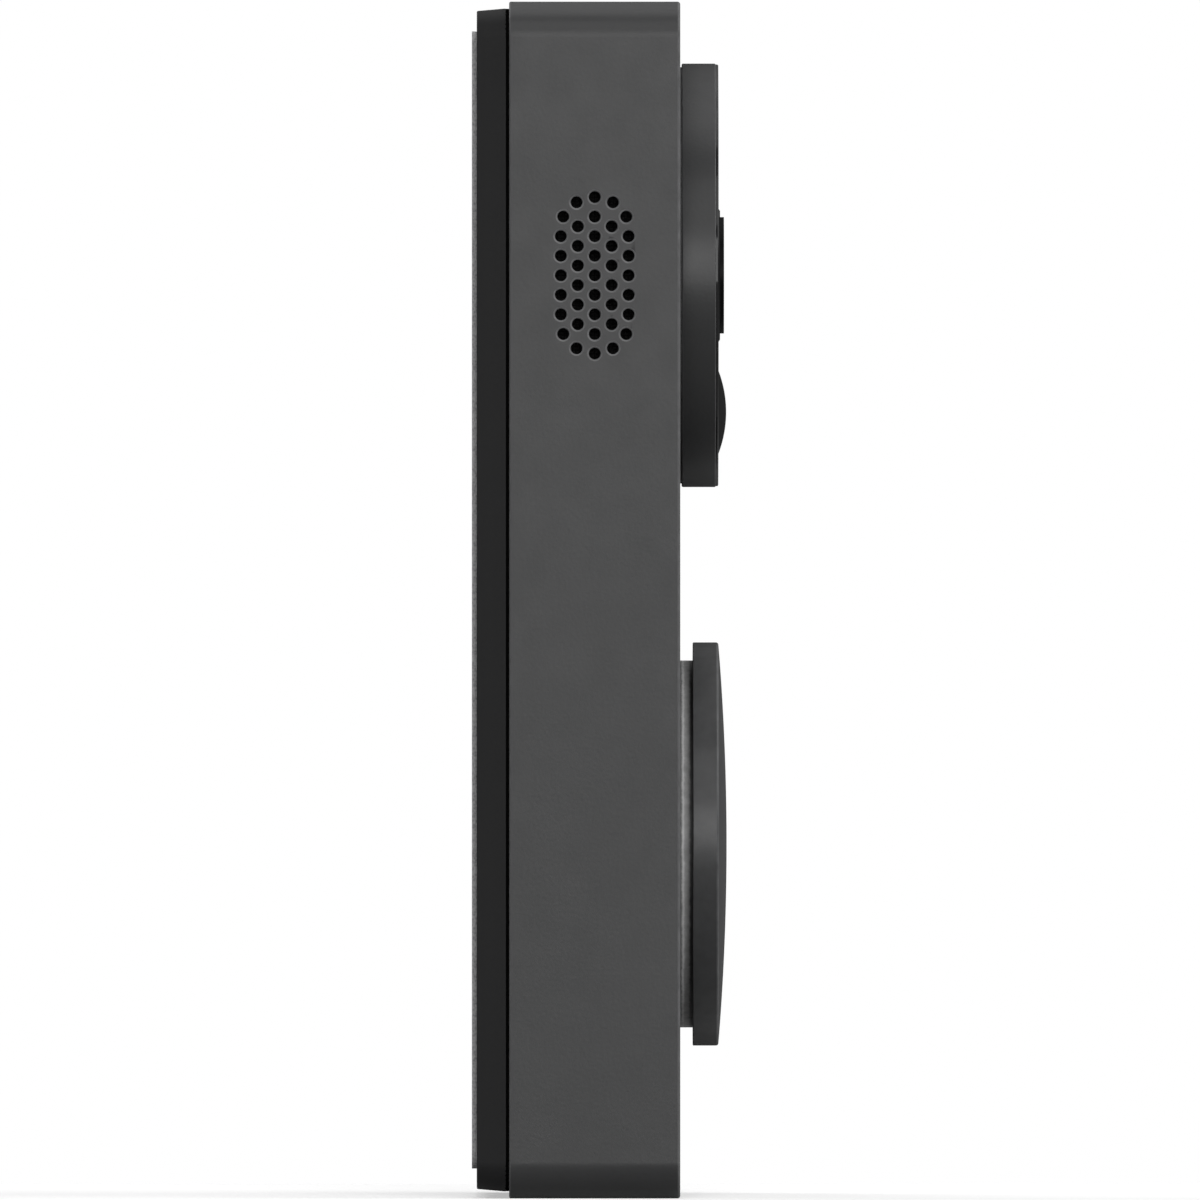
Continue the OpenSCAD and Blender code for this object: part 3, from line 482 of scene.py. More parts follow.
def wrapped_cell_finish(name):
    """Film sleeve in plain slate, with handling marks."""
    material, shader, place = new_finish(name)
    smudge = place_group(handling_smudges, place, Size=140.0)["Smudge"]
    film = place_group(moulded_grain, place, Grain=1800.0)
    feed(shader, Roughness=0.24 + smudge * 0.2, Normal=bump(smudge + film["Height"], 0.006 * MM),
         Base_Color=blend_colours(film["Shade"], (0.010, 0.016, 0.026, 1), (0.014, 0.021, 0.034, 1)))
    return material


coated_lens = clear_glass("front_lens_coated", (0.30, 0.34, 0.52, 1), ior=1.22)
satin_black = polished_black("lens_surround_satin", (0.0018, 0.0018, 0.0020, 1), gloss=0.3,
                             slant_gloss=1.0, level=0.03)
disc_seam = soft_material("disc_seam_silicone", (0.065, 0.065, 0.066, 1), cells=5200.0,
                          depth=0.006 * MM, gloss=0.6, level=0.2)
# A sheenless black, laid in the seam between plate and shell as painted shadow.
seam_shadow = soft_material("seam_painted_shadow", grey(0.0015), cells=4200.0, depth=0.006 * MM, gloss=0.95,
                            level=0.0)
finishes = {
    # A plastic's last factor, where given, lightens its edges as painted highlight and wear.
    "shell_plastic": moulded_plastic("shell_charcoal", (0.0300, 0.0302, 0.0308, 1), gloss=0.34,
                                     level=0.14, highlight_factor=5.0),
    "cap_plastic": moulded_plastic("cap_charcoal", (0.0200, 0.0202, 0.0207, 1), gloss=0.34,
                                   level=0.17, highlight_factor=3.5),
    "black_plastic": moulded_plastic("black_moulding", (0.0105, 0.0105, 0.0108, 1), gloss=0.5,
                                     level=0.07, spread=0.1, highlight_factor=1.9),
    "tray_plastic": moulded_plastic("tray_moulding", (0.0160, 0.0161, 0.0166, 1), gloss=0.5,
                                    level=0.15, grain=1900.0, depth=0.02 * MM),
    "window_black": polished_black("window_gloss", (0.0022, 0.0022, 0.0026, 1), gloss=0.05,
                                   slant_gloss=0.9),
    "cover_glass": clear_glass("lens_clear", (0.86, 0.9, 0.96, 1), ior=1.24),
    "light_guide": light_guide_finish("glow_ring_frosted"),
    "foam_tape": soft_material("foam_pad_grey", (0.29, 0.29, 0.293, 1), cells=3200.0, depth=0.05 * MM),
    "seal_rubber": soft_material("seal_silicone", grey(0.005), cells=5200.0, depth=0.008 * MM,
                                 gloss=0.7, level=0.1),
    "steel": plated_metal("plated_steel", (0.48, 0.475, 0.46, 1), gloss=0.28),
    "blackened_steel": plated_metal("black_oxide_steel", (0.035, 0.035, 0.036, 1), gloss=0.38,
                                    spread=0.3),
    "speaker_screen": soft_material("acoustic_weave", grey(0.003), cells=4200.0, depth=0.05 * MM,
                                    gloss=0.8, level=0.04),
    "circuit_board": circuit_board_finish("solder_mask_green"),
    "chip_resin": moulded_plastic("chip_resin_black", grey(0.012), gloss=0.42, level=0.3,
                                  grain=5200.0, depth=0.006 * MM),
    "capacitor_sleeve": moulded_plastic("sleeve_dark_blue", (0.006, 0.009, 0.045, 1), gloss=0.22,
                                        level=0.5, grain=900.0, depth=0.004 * MM),
    "copper_film": plated_metal("copper_on_film", (0.5, 0.22, 0.08, 1), gloss=0.34,
                                stretch=(600.0, 600.0, 600.0)),
    "battery_wrap": wrapped_cell_finish("cell_wrap_slate"),
    "lamp_resin": moulded_plastic("lamp_resin_pale", (0.62, 0.58, 0.40, 1), gloss=0.18, level=0.5,
                                  spread=0.05, highlight_factor=1.1, depth=0.003 * MM),
    "white_plastic": moulded_plastic("white_moulding", (0.56, 0.56, 0.52, 1), gloss=0.42, level=0.4,
                                     spread=0.04, highlight_factor=1.15),
    "speaker_paper": soft_material("cone_film", grey(0.012), cells=2600.0, depth=0.02 * MM,
                                   gloss=0.6, level=0.15),
}


# ---- Making pieces ----


def add_piece(name, mesh, node, slot=None, material=None):
    """A finished piece: it rides with the node it stands for, and takes that node's slot."""
    piece = in_scene(name, mesh)
    slot = slot or slot_of_node[node]
    if not mesh.materials:
        mesh.materials.append(material or finishes[slot])
    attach(piece, body_of_node[node])
    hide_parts(node)
    return piece


def made_plain(worker):
    """The worker's mesh with its modifiers carried out. The worker and its own mesh go."""
    plain = bpy.data.meshes.new_from_object(
        worker.evaluated_get(bpy.context.evaluated_depsgraph_get()))
    source = worker.data
    bpy.data.objects.remove(worker)
    bpy.data.meshes.remove(source)
    return plain


def mesh_of(name, bm):
    mesh = bpy.data.meshes.new(name)
    bm.to_mesh(mesh)
    bm.free()
    return mesh


def settle(name, bm, crease=32):
    """Turns a working mesh into a clean one: smooth, creased where it turns sharply, and with
    flat faces that shade flat."""
    bmesh.ops.recalc_face_normals(bm, faces=bm.faces)
    mesh = mesh_of(name, bm)
    mesh.shade_smooth()
    mesh.set_sharp_from_angle(angle=math.radians(crease))
    worker = in_scene(f"{name}_work", mesh)
    weighted = worker.modifiers.new("flat_shading", "WEIGHTED_NORMAL")
    weighted.keep_sharp = True
    weighted.weight = 100
    settled = made_plain(worker)
    settled.name = name
    return settled


def near(value, target, slack=0.02 * MM):
    return abs(value - target) < slack


def round_edges(bm, radius, chosen, steps, mark=1.0, held=True):
    """Rounds the sharp edges whose middle is chosen, and marks the rounding as an edge, whose colour the
    finishes lighten as painted highlight and wear. A circle of short edges isn't held to their length."""
    layer = bm.loops.layers.float.get("edge") or bm.loops.layers.float.new("edge")
    sharp = [e for e in bm.edges if len(e.link_faces) == 2 and e.calc_face_angle(0) > math.radians(35)
             and chosen((e.verts[0].co + e.verts[1].co) / 2)]
    made = bmesh.ops.bevel(bm, geom=sharp, offset=radius, offset_type="OFFSET", segments=steps,
                           profile=0.5, affect="EDGES", clamp_overlap=held)
    fresh = set(made["faces"])
    for face in fresh:
        for loop in face.loops:
            inside = all(f in fresh for f in loop.vert.link_faces)
            loop[layer] = mark if inside else 0.3 * mark


def add_smoothed(name, node, *roundings, material=None):
    """The node's own shape, with its loose triangles joined into whole faces, and with roundings,
    each given as round_edges takes it."""
    bm = bmesh.new()
    bm.from_mesh(cad_nodes[node].data)
    bmesh.ops.remove_doubles(bm, verts=bm.verts, dist=2e-6)
    bmesh.ops.dissolve_limit(bm, angle_limit=math.radians(0.5), verts=bm.verts, edges=bm.edges)
    for rounding in roundings:
        round_edges(bm, *rounding)
    add_piece(name, settle(name, bm), node, material=material)


def filleted(outline, radii, steps=5):
    """An outline of (radius, depth) points with its corners rounded. Each point comes back with a
    mark that says how far it belongs to a rounding."""
    points = []
    for i, corner in enumerate(outline):
        radius = radii.get(i, 0)
        here = Vector(corner)
        if not radius:
            points.append((*corner, 0.0))
            continue
        before = (Vector(outline[i - 1]) - here).normalized()
        after = (Vector(outline[(i + 1) % len(outline)]) - here).normalized()
        half = math.acos(max(-1.0, min(1.0, before.dot(after)))) / 2
        centre = here + (before + after).normalized() * (radius / math.sin(half))
        first = here + before * (radius / math.tan(half)) - centre
        last = here + after * (radius / math.tan(half)) - centre
        turn = first.angle_signed(last)
        for k in range(steps + 1):
            a = -turn * k / steps
            spoke = Vector((first.x * math.cos(a) - first.y * math.sin(a),
                            first.x * math.sin(a) + first.y * math.cos(a)))
            points.append((*(centre + spoke), 0.3 if k in (0, steps) else 1.0))
    return points


def unmarked(line):
    return [(r, depth, 0.0) for r, depth in line]


def dome_line(diameter, edge, rise, steps):
    """(radius, depth) points of a shallow dome from its edge to its apex."""
    ball = diameter * diameter / (8 * rise) + rise / 2
    radii = [diameter / 2 * (1 - i / steps) for i in range(steps + 1)]
    return [(r, edge + rise - ball + math.sqrt(ball * ball - r * r)) for r in radii]


def add_turned(name, node, points, centre_z, sides, **finish):
    """A shape turned about a line along Y. Points are (radius, depth, mark) in millimetres. The
    outline closes on itself, or on the axis where it starts and ends there."""
    bm = bmesh.new()
    layer = bm.loops.layers.float.new("edge")
    on_the_axis = 1e-6
    angles = [2 * math.pi * k / sides for k in range(sides)]
    rings = []
    for r, depth, mark in points:
        if r < on_the_axis:
            ring = [bm.verts.new((0, -depth * MM, centre_z))] * sides
        else:
            ring = [bm.verts.new((r * MM * math.cos(a), -depth * MM, centre_z + r * MM * math.sin(a)))
                    for a in angles]
        rings.append((ring, mark))
    pairs = list(zip(rings, rings[1:]))
    if points[0][0] >= on_the_axis or points[-1][0] >= on_the_axis:
        pairs.append((rings[-1], rings[0]))
    for (low, low_mark), (high, high_mark) in pairs:
        for k in range(sides):
            n = (k + 1) % sides
            corners = {low[k]: low_mark, low[n]: low_mark, high[n]: high_mark, high[k]: high_mark}
            if len(corners) > 2:
                face = bm.faces.new(corners)
                for loop, mark in zip(face.loops, corners.values()):
                    loop[layer] = mark
    return add_piece(name, settle(name, bm), node, **finish)


def rounded_frame(name, half_w, half_h, corner, band, rear, front, steps=10):
    """A flat frame with round corners: its outer half width and height, and the width of its band."""
    bm = bmesh.new()

    def loop(inset, depth):
        r = corner - inset
        ring = []
        for turn, (sx, sz) in enumerate([(1, 1), (-1, 1), (-1, -1), (1, -1)]):
            for k in range(steps + 1):
                a = math.pi / 2 * (turn + k / steps)
                ring.append(bm.verts.new((sx * (half_w - corner) + r * math.cos(a), -depth,
                                          sz * (half_h - corner) + r * math.sin(a))))
        return ring

    loops = [loop(0, rear), loop(0, front), loop(band, front), loop(band, rear)]
    for one, two in zip(loops, loops[1:] + loops[:1]):
        for k in range(len(one)):
            n = (k + 1) % len(one)
            bm.faces.new((one[k], one[n], two[n], two[k]))
    return settle(name, bm)


# ---- Shapes that repeat, grown by node trees ----


def new_tree(name, inputs, *more_finishes):
    """A geometry tree with named inputs, and its two ends. It grows a piece on the points it gets."""
    tree = bpy.data.node_groups.new(name, "GeometryNodeTree")
    tree.is_modifier = True
    finish_inputs = dict.fromkeys(("Finish", *more_finishes), "Material")
    add_sockets(tree, {"Points": "Geometry", **inputs, **finish_inputs})
    add_sockets(tree, {"Piece": "Geometry"}, "OUTPUT")
    return (tree, *ends(tree))


def spot(x=0.0, y=0.0, z=0.0):
    return lay(tree_of(x, y, z), "ShaderNodeCombineXYZ", {0: x, 1: y, 2: z})


def position(tree):
    """The wires of x, y and z of each point."""
    place = lay(tree, "GeometryNodeInputPosition")
    return [Wire(socket) for socket in lay_node(tree, "ShaderNodeSeparateXYZ", {0: place}).outputs]


def joined(*shapes):
    node = tree_of(*shapes).nodes.new("GeometryNodeJoinGeometry")
    for shape in shapes:
        connect(node, {0: shape})
    return Wire(node.outputs[0])


def cut_from(shape, *tools):
    node = lay_node(tree_of(shape), "GeometryNodeMeshBoolean", {"Mesh 1": shape},
                    operation="DIFFERENCE", solver="EXACT")
    for tool in tools:
        connect(node, {"Mesh 2": tool})
    return Wire(node.outputs[0])


def moved(shape, **how):
    return lay(tree_of(shape), "GeometryNodeTransform", {"Geometry": shape, **how})


def shifted(shape, offset):
    return lay(tree_of(shape), "GeometryNodeSetPosition", {"Geometry": shape, "Offset": offset})


def box_of(x, y, z, centre):
    cube = lay(tree_of(x, y, z), "GeometryNodeMeshCube", {"Size": spot(x, y, z)}, "Mesh")
    return moved(cube, Translation=centre)


def prism(tree, sides, radius, depth, centre):
    inputs = {"Vertices": sides, "Radius": radius, "Depth": depth}
    return moved(lay(tree, "GeometryNodeMeshCylinder", inputs, "Mesh"), Translation=centre)


def tube(path, radius, sides):
    section = lay(tree_of(path), "GeometryNodeCurvePrimitiveCircle",
                  {"Resolution": sides, "Radius": radius})
    return lay(tree_of(path), "GeometryNodeCurveToMesh",
               {"Curve": path, "Profile Curve": section, "Fill Caps": True})


def line_of(tree, count, first, step):
    return lay(tree, "GeometryNodeMeshLine", {"Count": count, "Start Location": first, "Offset": step},
               mode="OFFSET")


def copied(points, shape, turn=NO_TURN):
    return lay(tree_of(points), "GeometryNodeInstanceOnPoints",
               {"Points": points, "Instance": shape, "Rotation": turn})


def turned_again(copies, turn):
    return lay(tree_of(copies), "GeometryNodeRotateInstances", {"Instances": copies, "Rotation": turn})


def realized(shape):
    return lay(tree_of(shape), "GeometryNodeRealizeInstances", {"Geometry": shape})


def painted(shape, finish):
    return lay(tree_of(shape), "GeometryNodeSetMaterial", {"Geometry": shape, "Material": finish})


def outline_curve(along, values):
    """A lookup along an outline. Sixteen values fall exactly on its samples."""
    node = lay_node(tree_of(along), "ShaderNodeFloatCurve", {"Value": along})
    points = node.mapping.curves[0].points
    points[0].location = (0.0, values[0])
    points[1].location = (1.0, values[-1])
    for i, value in enumerate(values[1:-1], 1):
        points.new(i / (len(values) - 1), value)
    for point in points:
        point.handle_type = "VECTOR"
    node.mapping.update()
    return Wire(node.outputs[0])


def rolled_grid(tree, sides, rows):
    """A grid to be rolled into a tube: its mesh, the angle around it and the share along it."""
    inputs = {"Size X": 1.0, "Size Y": 1.0, "Vertices X": sides + 1, "Vertices Y": rows}
    x, y = position(tree)[:2]
    return lay(tree, "GeometryNodeMeshGrid", inputs, "Mesh"), x * (2 * math.pi), y + 0.5


def roll_up(grid, around, radius, height):
    place = spot(radius * maths("COSINE", around), radius * maths("SINE", around), height)
    rolled = lay(tree_of(grid), "GeometryNodeSetPosition", {"Geometry": grid, "Position": place})
    return lay(tree_of(grid), "GeometryNodeMergeByDistance",
               {"Geometry": rolled, "Distance": 0.0004 * MM})


def lathe(outline, radius, length, sides=32):
    """A turned shape along +Z. The outline is up to 16 (share of radius, share of length) points."""
    rows = list(outline) + [outline[-1]] * (16 - len(outline))
    grid, around, along = rolled_grid(tree_of(radius), sides, 16)
    return roll_up(grid, around, outline_curve(along, [r for r, z in rows]) * radius,
                   outline_curve(along, [z for r, z in rows]) * length)


def stand_on_points(start, end, shape, facing, seed=None):
    """Sets the shape on each point, turned to face the front and, with a seed, turned at random
    about its own axis. A point marked 'upside' stands it on its head."""
    tree = tree_of(shape)
    upside = lay(tree, "GeometryNodeInputNamedAttribute", {"Name": "upside"}, "Attribute",
                 data_type="FLOAT")
    copies = turned_again(copied(start["Points"], shape, facing), spot(upside * math.pi))
    if seed is not None:
        chance = lay(tree, "FunctionNodeRandomValue", {2: 0.0, 3: math.pi, "Seed": seed}, 1,
                     data_type="FLOAT")
        copies = turned_again(copies, spot(z=chance))
    connect(end, {"Piece": painted(realized(copies), start["Finish"])})


def grow(name, tree, places, finish, upside=None, crease=32, **sizes):
    """Runs a tree on points and returns a plain mesh. Sizes are named as the tree's inputs."""
    seeds = bpy.data.meshes.new(f"{name}_points")
    seeds.from_pydata([tuple(p) for p in places], [], [])
    if upside:
        seeds.attributes.new("upside", "FLOAT", "POINT").data.foreach_set("value", upside)
    worker = in_scene(f"{name}_work", seeds)
    growth = worker.modifiers.new("growth", "NODES")
    growth.node_group = tree
    sockets = {item.name: item.identifier for item in tree.interface.items_tree
               if item.item_type == "SOCKET" and item.in_out == "INPUT"}
    growth[sockets["Finish"]] = finish
    for label, value in sizes.items():
        growth[sockets[label.replace("_", " ")]] = value
    grown = made_plain(worker)
    coats = list(grown.materials)
    used = [coat for coat in coats if coat]
    bm = bmesh.new()
    bm.from_mesh(grown)
    bpy.data.meshes.remove(grown)
    for face in bm.faces:
        face.material_index = used.index(coats[face.material_index])
    settled = settle(name, bm, crease)
    for coat in used:
        settled.materials.append(coat)
    return settled


def add_grown(name, node, tree, places, slot=None, **sizes):
    """A piece that a tree grows, in the finish of its slot."""
    mesh = grow(name, tree, places, finishes[slot or slot_of_node[node]], **sizes)
    return add_piece(name, mesh, node, slot)


def make_screw_tree(name, recess_sides):
    """Pan-head screws along +Z: a rounded head with a recess, and a threaded shank."""
    tree, start, end = new_tree(name, {
        "Head Diameter": 4.4 * MM, "Head Height": 1.1 * MM, "Shank Diameter": 1.9 * MM,
        "Shank Length": 8 * MM, "Thread Pitch": 0.7 * MM, "Recess Width": 2.2 * MM,
        "Recess Depth": 0.6 * MM, "Facing": FACES_FRONT, "Seed": 7})
    head_h, wide, deep = start["Head Height"], start["Recess Width"], start["Recess Depth"]
    dome = [(0, 0), (0.4, 0.0), (0.62, 0.03), (0.78, 0.1), (0.9, 0.24), (0.97, 0.42), (1, 0.62),
            (1, 0.88), (0.97, 0.96), (0.92, 1), (0.3, 1), (0, 1)]
    head = lathe(dome, start["Head Diameter"] * 0.5, head_h)
    centre, depth, slot_w = spot(z=deep * 0.5 - 0.1 * MM), deep + 0.2 * MM, 0.5 * MM
    if recess_sides == 4:
        tools = [box_of(wide, slot_w, depth, centre), box_of(slot_w, wide, depth, centre)]
    else:
        tools = [prism(tree, recess_sides, wide * 0.5, depth, centre)]
    rows = 96
    grid, around, along = rolled_grid(tree, 16, rows)
    height = along * start["Shank Length"]
    phase = maths("FRACT", height / start["Thread Pitch"] - around / (2 * math.pi))
    ridge = 0.8 + maths("PINGPONG", phase * 2.0, 1.0) * 0.2
    tip = maths("MINIMUM", along * float(rows), maths("MINIMUM", 1.0, (1.0 - along) * 7.0))
    shank = roll_up(grid, around, start["Shank Diameter"] * 0.5 * ridge * tip,
                    height + head_h - 0.05 * MM)
    stand_on_points(start, end, joined(cut_from(head, *tools), shank), start["Facing"], start["Seed"])
    return tree


def make_coil_tree():
    """Compression springs along +Z with closed ends."""
    tree, start, end = new_tree("coil_spring", {
        "Coil Radius": 2.8 * MM, "Wire": 0.6 * MM, "Turns": 4.0, "Height": 2.9 * MM,
        "Facing": NO_TURN})
    coil = lay(tree, "GeometryNodeCurveSpiral", {
        "Resolution": 28, "Rotations": start["Turns"], "Start Radius": start["Coil Radius"],
        "End Radius": start["Coil Radius"], "Height": 0.0})
    rise = outline_curve(lay(tree, "GeometryNodeSplineParameter", out="Factor"), [
        0, 0.015, 0.03, 0.06, 0.13, 0.22, 0.32, 0.44, 0.56, 0.68, 0.78, 0.87, 0.94, 0.97, 0.985, 1])
    coil = shifted(coil, spot(z=rise * start["Height"]))
    stand_on_points(start, end, tube(coil, start["Wire"] * 0.5, 10), start["Facing"])
    return tree


def make_turned_tree(name, outline):
    """Copies of one turned shape along +Z, from its outline in shares of radius and length."""
    tree, start, end = new_tree(name, {"Radius": MM, "Length": MM})
    stand_on_points(start, end, lathe(outline, start["Radius"], start["Length"], 48), NO_TURN)
    return tree


def make_lamp_tree():
    """Lamps in a ring, each a moulded package with a domed lens, facing the front."""
    tree, start, end = new_tree("ring_of_lamps", {
        "Count": 8, "Ring Radius": 19.2 * MM, "First Angle": 0.0, "Width": 1.4 * MM,
        "Length": 2 * MM, "Body": 0.35 * MM, "Lens": 0.5 * MM, "Lens Height": 0.2 * MM})
    width, length, body = start["Width"], start["Length"], start["Body"]
    step, inset, overlap = 0.06 * MM, 0.3 * MM, 0.01 * MM
    package = box_of(width, length, body, spot(z=body * 0.5))
    cover = box_of(width - inset, length - inset, step, spot(z=body + (step / 2 - overlap)))
    dome = [(0, 0), (1, 0), (0.98, 0.17), (0.94, 0.34), (0.87, 0.5), (0.77, 0.64), (0.64, 0.77),
            (0.5, 0.87), (0.34, 0.94), (0.17, 0.985), (0, 1)]
    lens = moved(lathe(dome, start["Lens"], start["Lens Height"], 24),
                 Translation=spot(z=body - overlap))
    ring = lay(tree, "GeometryNodeMeshCircle", {"Vertices": start["Count"],
                                                "Radius": start["Ring Radius"]})
    ring = moved(ring, Rotation=spot(z=start["First Angle"]))
    x, y = position(tree)[:2]
    lamps = copied(ring, joined(package, cover, lens), spot(z=maths("ARCTAN2", y, x)))
    stand_on_points(start, end, lamps, FACES_FRONT)
    return tree


def make_chip_tree():
    """A moulded chip with a row of bent legs on two sides, lying in X and Y with its top at +Z."""
    tree, start, end = new_tree("leaded_chip", {
        "Width": 6 * MM, "Length": 4 * MM, "Height": 1.2 * MM, "Legs": 5, "Facing": FACES_FRONT},
        "Leg Finish")
    width, length, height, count = (start[k] for k in ("Width", "Length", "Height", "Legs"))
    body_w = width * 0.8
    lower = box_of(body_w, length, height * 0.55, spot(z=height * 0.32))
    upper = box_of(body_w * 0.94, length * 0.94, height * 0.42, spot(z=height * 0.79))
    dot = prism(tree, 16, 0.3 * MM, 0.2 * MM, spot(body_w * -0.32, length * -0.32, height))
    pitch = length / (count + 0.4)
    leg_w, reach, skin = pitch * 0.42, (width - body_w) * 0.5, 0.12 * MM
    foot = box_of(reach, leg_w, skin, spot(reach * 0.5, 0.0, skin / 2))
    riser = box_of(skin, leg_w, height * 0.4, spot(reach * 0.45, 0.0, height * 0.2))
    root = box_of(reach * 0.5, leg_w, skin, spot(reach * 0.22, 0.0, height * 0.4))
    first = spot(body_w * 0.5, pitch * (count - 1.0) * -0.5)
    side = copied(line_of(tree, count, first, spot(0.0, pitch)), joined(foot, riser, root))
    both = joined(side, moved(side, Rotation=(0.0, 0.0, math.pi)))
    legs = painted(realized(both), start["Leg Finish"])
    resin = painted(joined(lower, cut_from(upper, dot)), start["Finish"])
    chips = copied(start["Points"], joined(resin, legs), start["Facing"])
    connect(end, {"Piece": realized(chips)})
    return tree


def make_weave_tree():
    """Woven gauze cut to a capsule, facing the side. Its wires pass over and under each other."""
    tree, start, end = new_tree("woven_gauze", {
        "Width": 11 * MM, "Height": 21 * MM, "Pitch": 0.42 * MM, "Wire": 0.13 * MM,
        "Wave": 0.07 * MM})
    width, height, pitch = start["Width"], start["Height"], start["Pitch"]

    def waved_rows(across, along, sign):
        """Wires along local X, side by side in local Y, before they are turned into place."""
        half = maths("CEIL", along * 0.5 / pitch)
        side = maths("FLOOR", across * 0.5 / pitch)
        line = line_of(tree, half * 4.0 + 1.0, spot(half * pitch * -1.0), spot(pitch * 0.5))
        swing = maths("COSINE", position(tree)[0] / pitch * math.pi)
        wave = shifted(line, spot(z=swing * start["Wave"] * sign))
        rows = line_of(tree, side * 2.0 + 1.0, spot(0.0, side * pitch * -1.0), spot(0.0, pitch))
        flip = (lay(tree, "GeometryNodeInputIndex") + side) * math.pi
        return realized(copied(rows, wave, spot(flip)))

    upright = moved(waved_rows(width, height, 1.0), Rotation=(0.0, 0.0, math.pi / 2))
    level = waved_rows(height, width, -1.0)
    x, y = position(tree)[:2]
    beyond = maths("MAXIMUM", maths("ABSOLUTE", y) - (height - width) * 0.5, 0.0)
    reach = maths("SQRT", x * x + beyond * beyond)
    outside = maths("GREATER_THAN", reach, width * 0.5 + start["Wire"] * -0.5)
    kept = lay(tree, "GeometryNodeDeleteGeometry",
               {"Geometry": joined(upright, level), "Selection": outside}, domain="POINT")
    cloth = tube(lay(tree, "GeometryNodeMeshToCurve", {"Mesh": kept}), start["Wire"] * 0.5, 5)
    stand_on_points(start, end, moved(cloth, Rotation=(math.pi / 2, 0.0, math.pi / 2)), NO_TURN)
    return tree


# ---- The outside of the doorbell ----


def make_shell():
    corner = 4.1 * MM
    grille_y, grille_half_w, grille_half_h = middle("speaker_mesh").y, 6 * MM, 12 * MM

    def outer_rim(depth):
        def chosen(p):
            over_x, over_z = (max(abs(p[i]) - shell_high[i] + corner, 0) for i in (0, 2))
            on_rim = near(abs(p.x), shell_high.x) or near(abs(p.z), shell_high.z) or \
                near(math.hypot(over_x, over_z), corner, 0.06 * MM)
            return near(-p.y, depth) and on_rim
        return chosen

    def grille_rim(p):
        return near(p.x, shell_low.x, 0.01 * MM) and abs(p.z - disc_z) < grille_half_h \
            and abs(p.y - grille_y) < grille_half_w

    # Their 'edge' marks lighten the rims as painted highlight and wear, and ring each grille hole with a
    # painted light halo.
    add_smoothed("shell", "front_shell", (0.3 * MM, outer_rim(shell_front), 5, 0.6),
                 (0.2 * MM, outer_rim(shell_rear), 4, 0.45), (0.22 * MM, grille_rim, 3, 1.0, False))


def make_wall_plate():
    """The plate, and a thin black lip on its rim that fills the gap to the shell behind it as painted
    shadow.
    """
    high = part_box("wall_plate")[1]
    front_round, rear_round, rim_w = 0.35 * MM, 0.15 * MM, 5 * MM

    def front_rim(p):
        on_rim = abs(p.x) > high.x - rim_w or abs(p.z) > high.z - rim_w
        return near(-p.y, plate_front) and on_rim

    add_smoothed("plate", "wall_plate", (front_round, front_rim, 4, 0.0),
                 (rear_round, lambda p: near(p.y, high.y), 3))
    inset, corner, band = 0.05 * MM, 3.3 * MM, 1.3 * MM
    lip = rounded_frame("plate_lip", high.x - inset, high.z - inset, corner, band,
                        plate_front - front_round, shell_rear - 0.02 * MM)
    add_piece("plate_lip", lip, "wall_plate", material=seam_shadow)


def make_camera_disc():
    radius, rear, front = span_mm("camera_bezel")

    def rim_at(depth):
        return lambda p: near(-p.y, depth * MM) and math.hypot(p.x, p.z - disc_z) > (radius - 0.1) * MM

    add_smoothed("disc_rim", "camera_bezel", (0.12 * MM, rim_at(front), 3),
                 (0.15 * MM, rim_at(rear), 3), material=finishes["cap_plastic"])
    add_smoothed("disc_window", "camera_window")


def make_lens_cover():
    """The ring round the lens, the clear cover in it, and the cover's dark printed rim."""
    face = front_depth("camera_window") / MM
    glass_r, glass_rear, glass_front = span_mm("lens_glass")
    trim_r, trim_rear = span_mm("lens_trim")[:2]
    neck, bore, seat_r = 7.0, 5.7, glass_r + 0.05
    outline = [(bore, trim_rear), (neck, trim_rear), (neck, face), (trim_r, face),
               (trim_r - 0.3, face + 0.2), (seat_r, face + 0.16), (seat_r, glass_rear),
               (bore, glass_rear)]
    add_turned("lens_ring", "lens_trim", filleted(outline, {3: 0.03, 4: 0.08, 5: 0.05}, 3), disc_z,
               128, material=satin_black)
    land_r, land, edge, rise = glass_r - 0.3, glass_front - 0.6, glass_front - 0.03, 0.03
    outline = [(0, glass_rear), (glass_r, glass_rear), (glass_r, land), (land_r, land), (land_r, edge)]
    crown = dome_line(2 * land_r, edge, rise, 6)[1:]
    add_turned("lens_cover", "lens_glass", filleted(outline, {1: 0.1}, 3) + unmarked(crown), disc_z,
               128)
    inner, rear, front = glass_r - 0.29, land + 0.01, glass_front - 0.005
    outline = [(inner, rear), (glass_r, rear), (glass_r, front), (inner, front)]
    add_turned("lens_cover_rim", "lens_glass", filleted(outline, {2: 0.05}, 3), disc_z, 128,
               slot="window_black", material=satin_black)


def make_motion_lens():
    """The motion sensor's domed lens, hollow, with a flange behind the window."""
    face = front_depth("camera_window") / MM
    dome_r, wall, sunk = 4.85, 0.5, 0.03
    flange, rear, apex = span_mm("motion_dome")
    outline = [(flange, rear), (flange, rear + wall), (dome_r, rear + wall), (dome_r, face - sunk)]
    outer = dome_line(2 * dome_r, face - sunk, apex - face + sunk, 20)[1:]
    inner = dome_line(2 * (dome_r - wall), face - wall, apex - face, 16)[::-1]
    add_turned("motion_lens", "motion_dome",
               unmarked(outline + outer + inner + [(dome_r - wall, rear)]),
               middle("motion_dome").z, 96, material=satin_black)


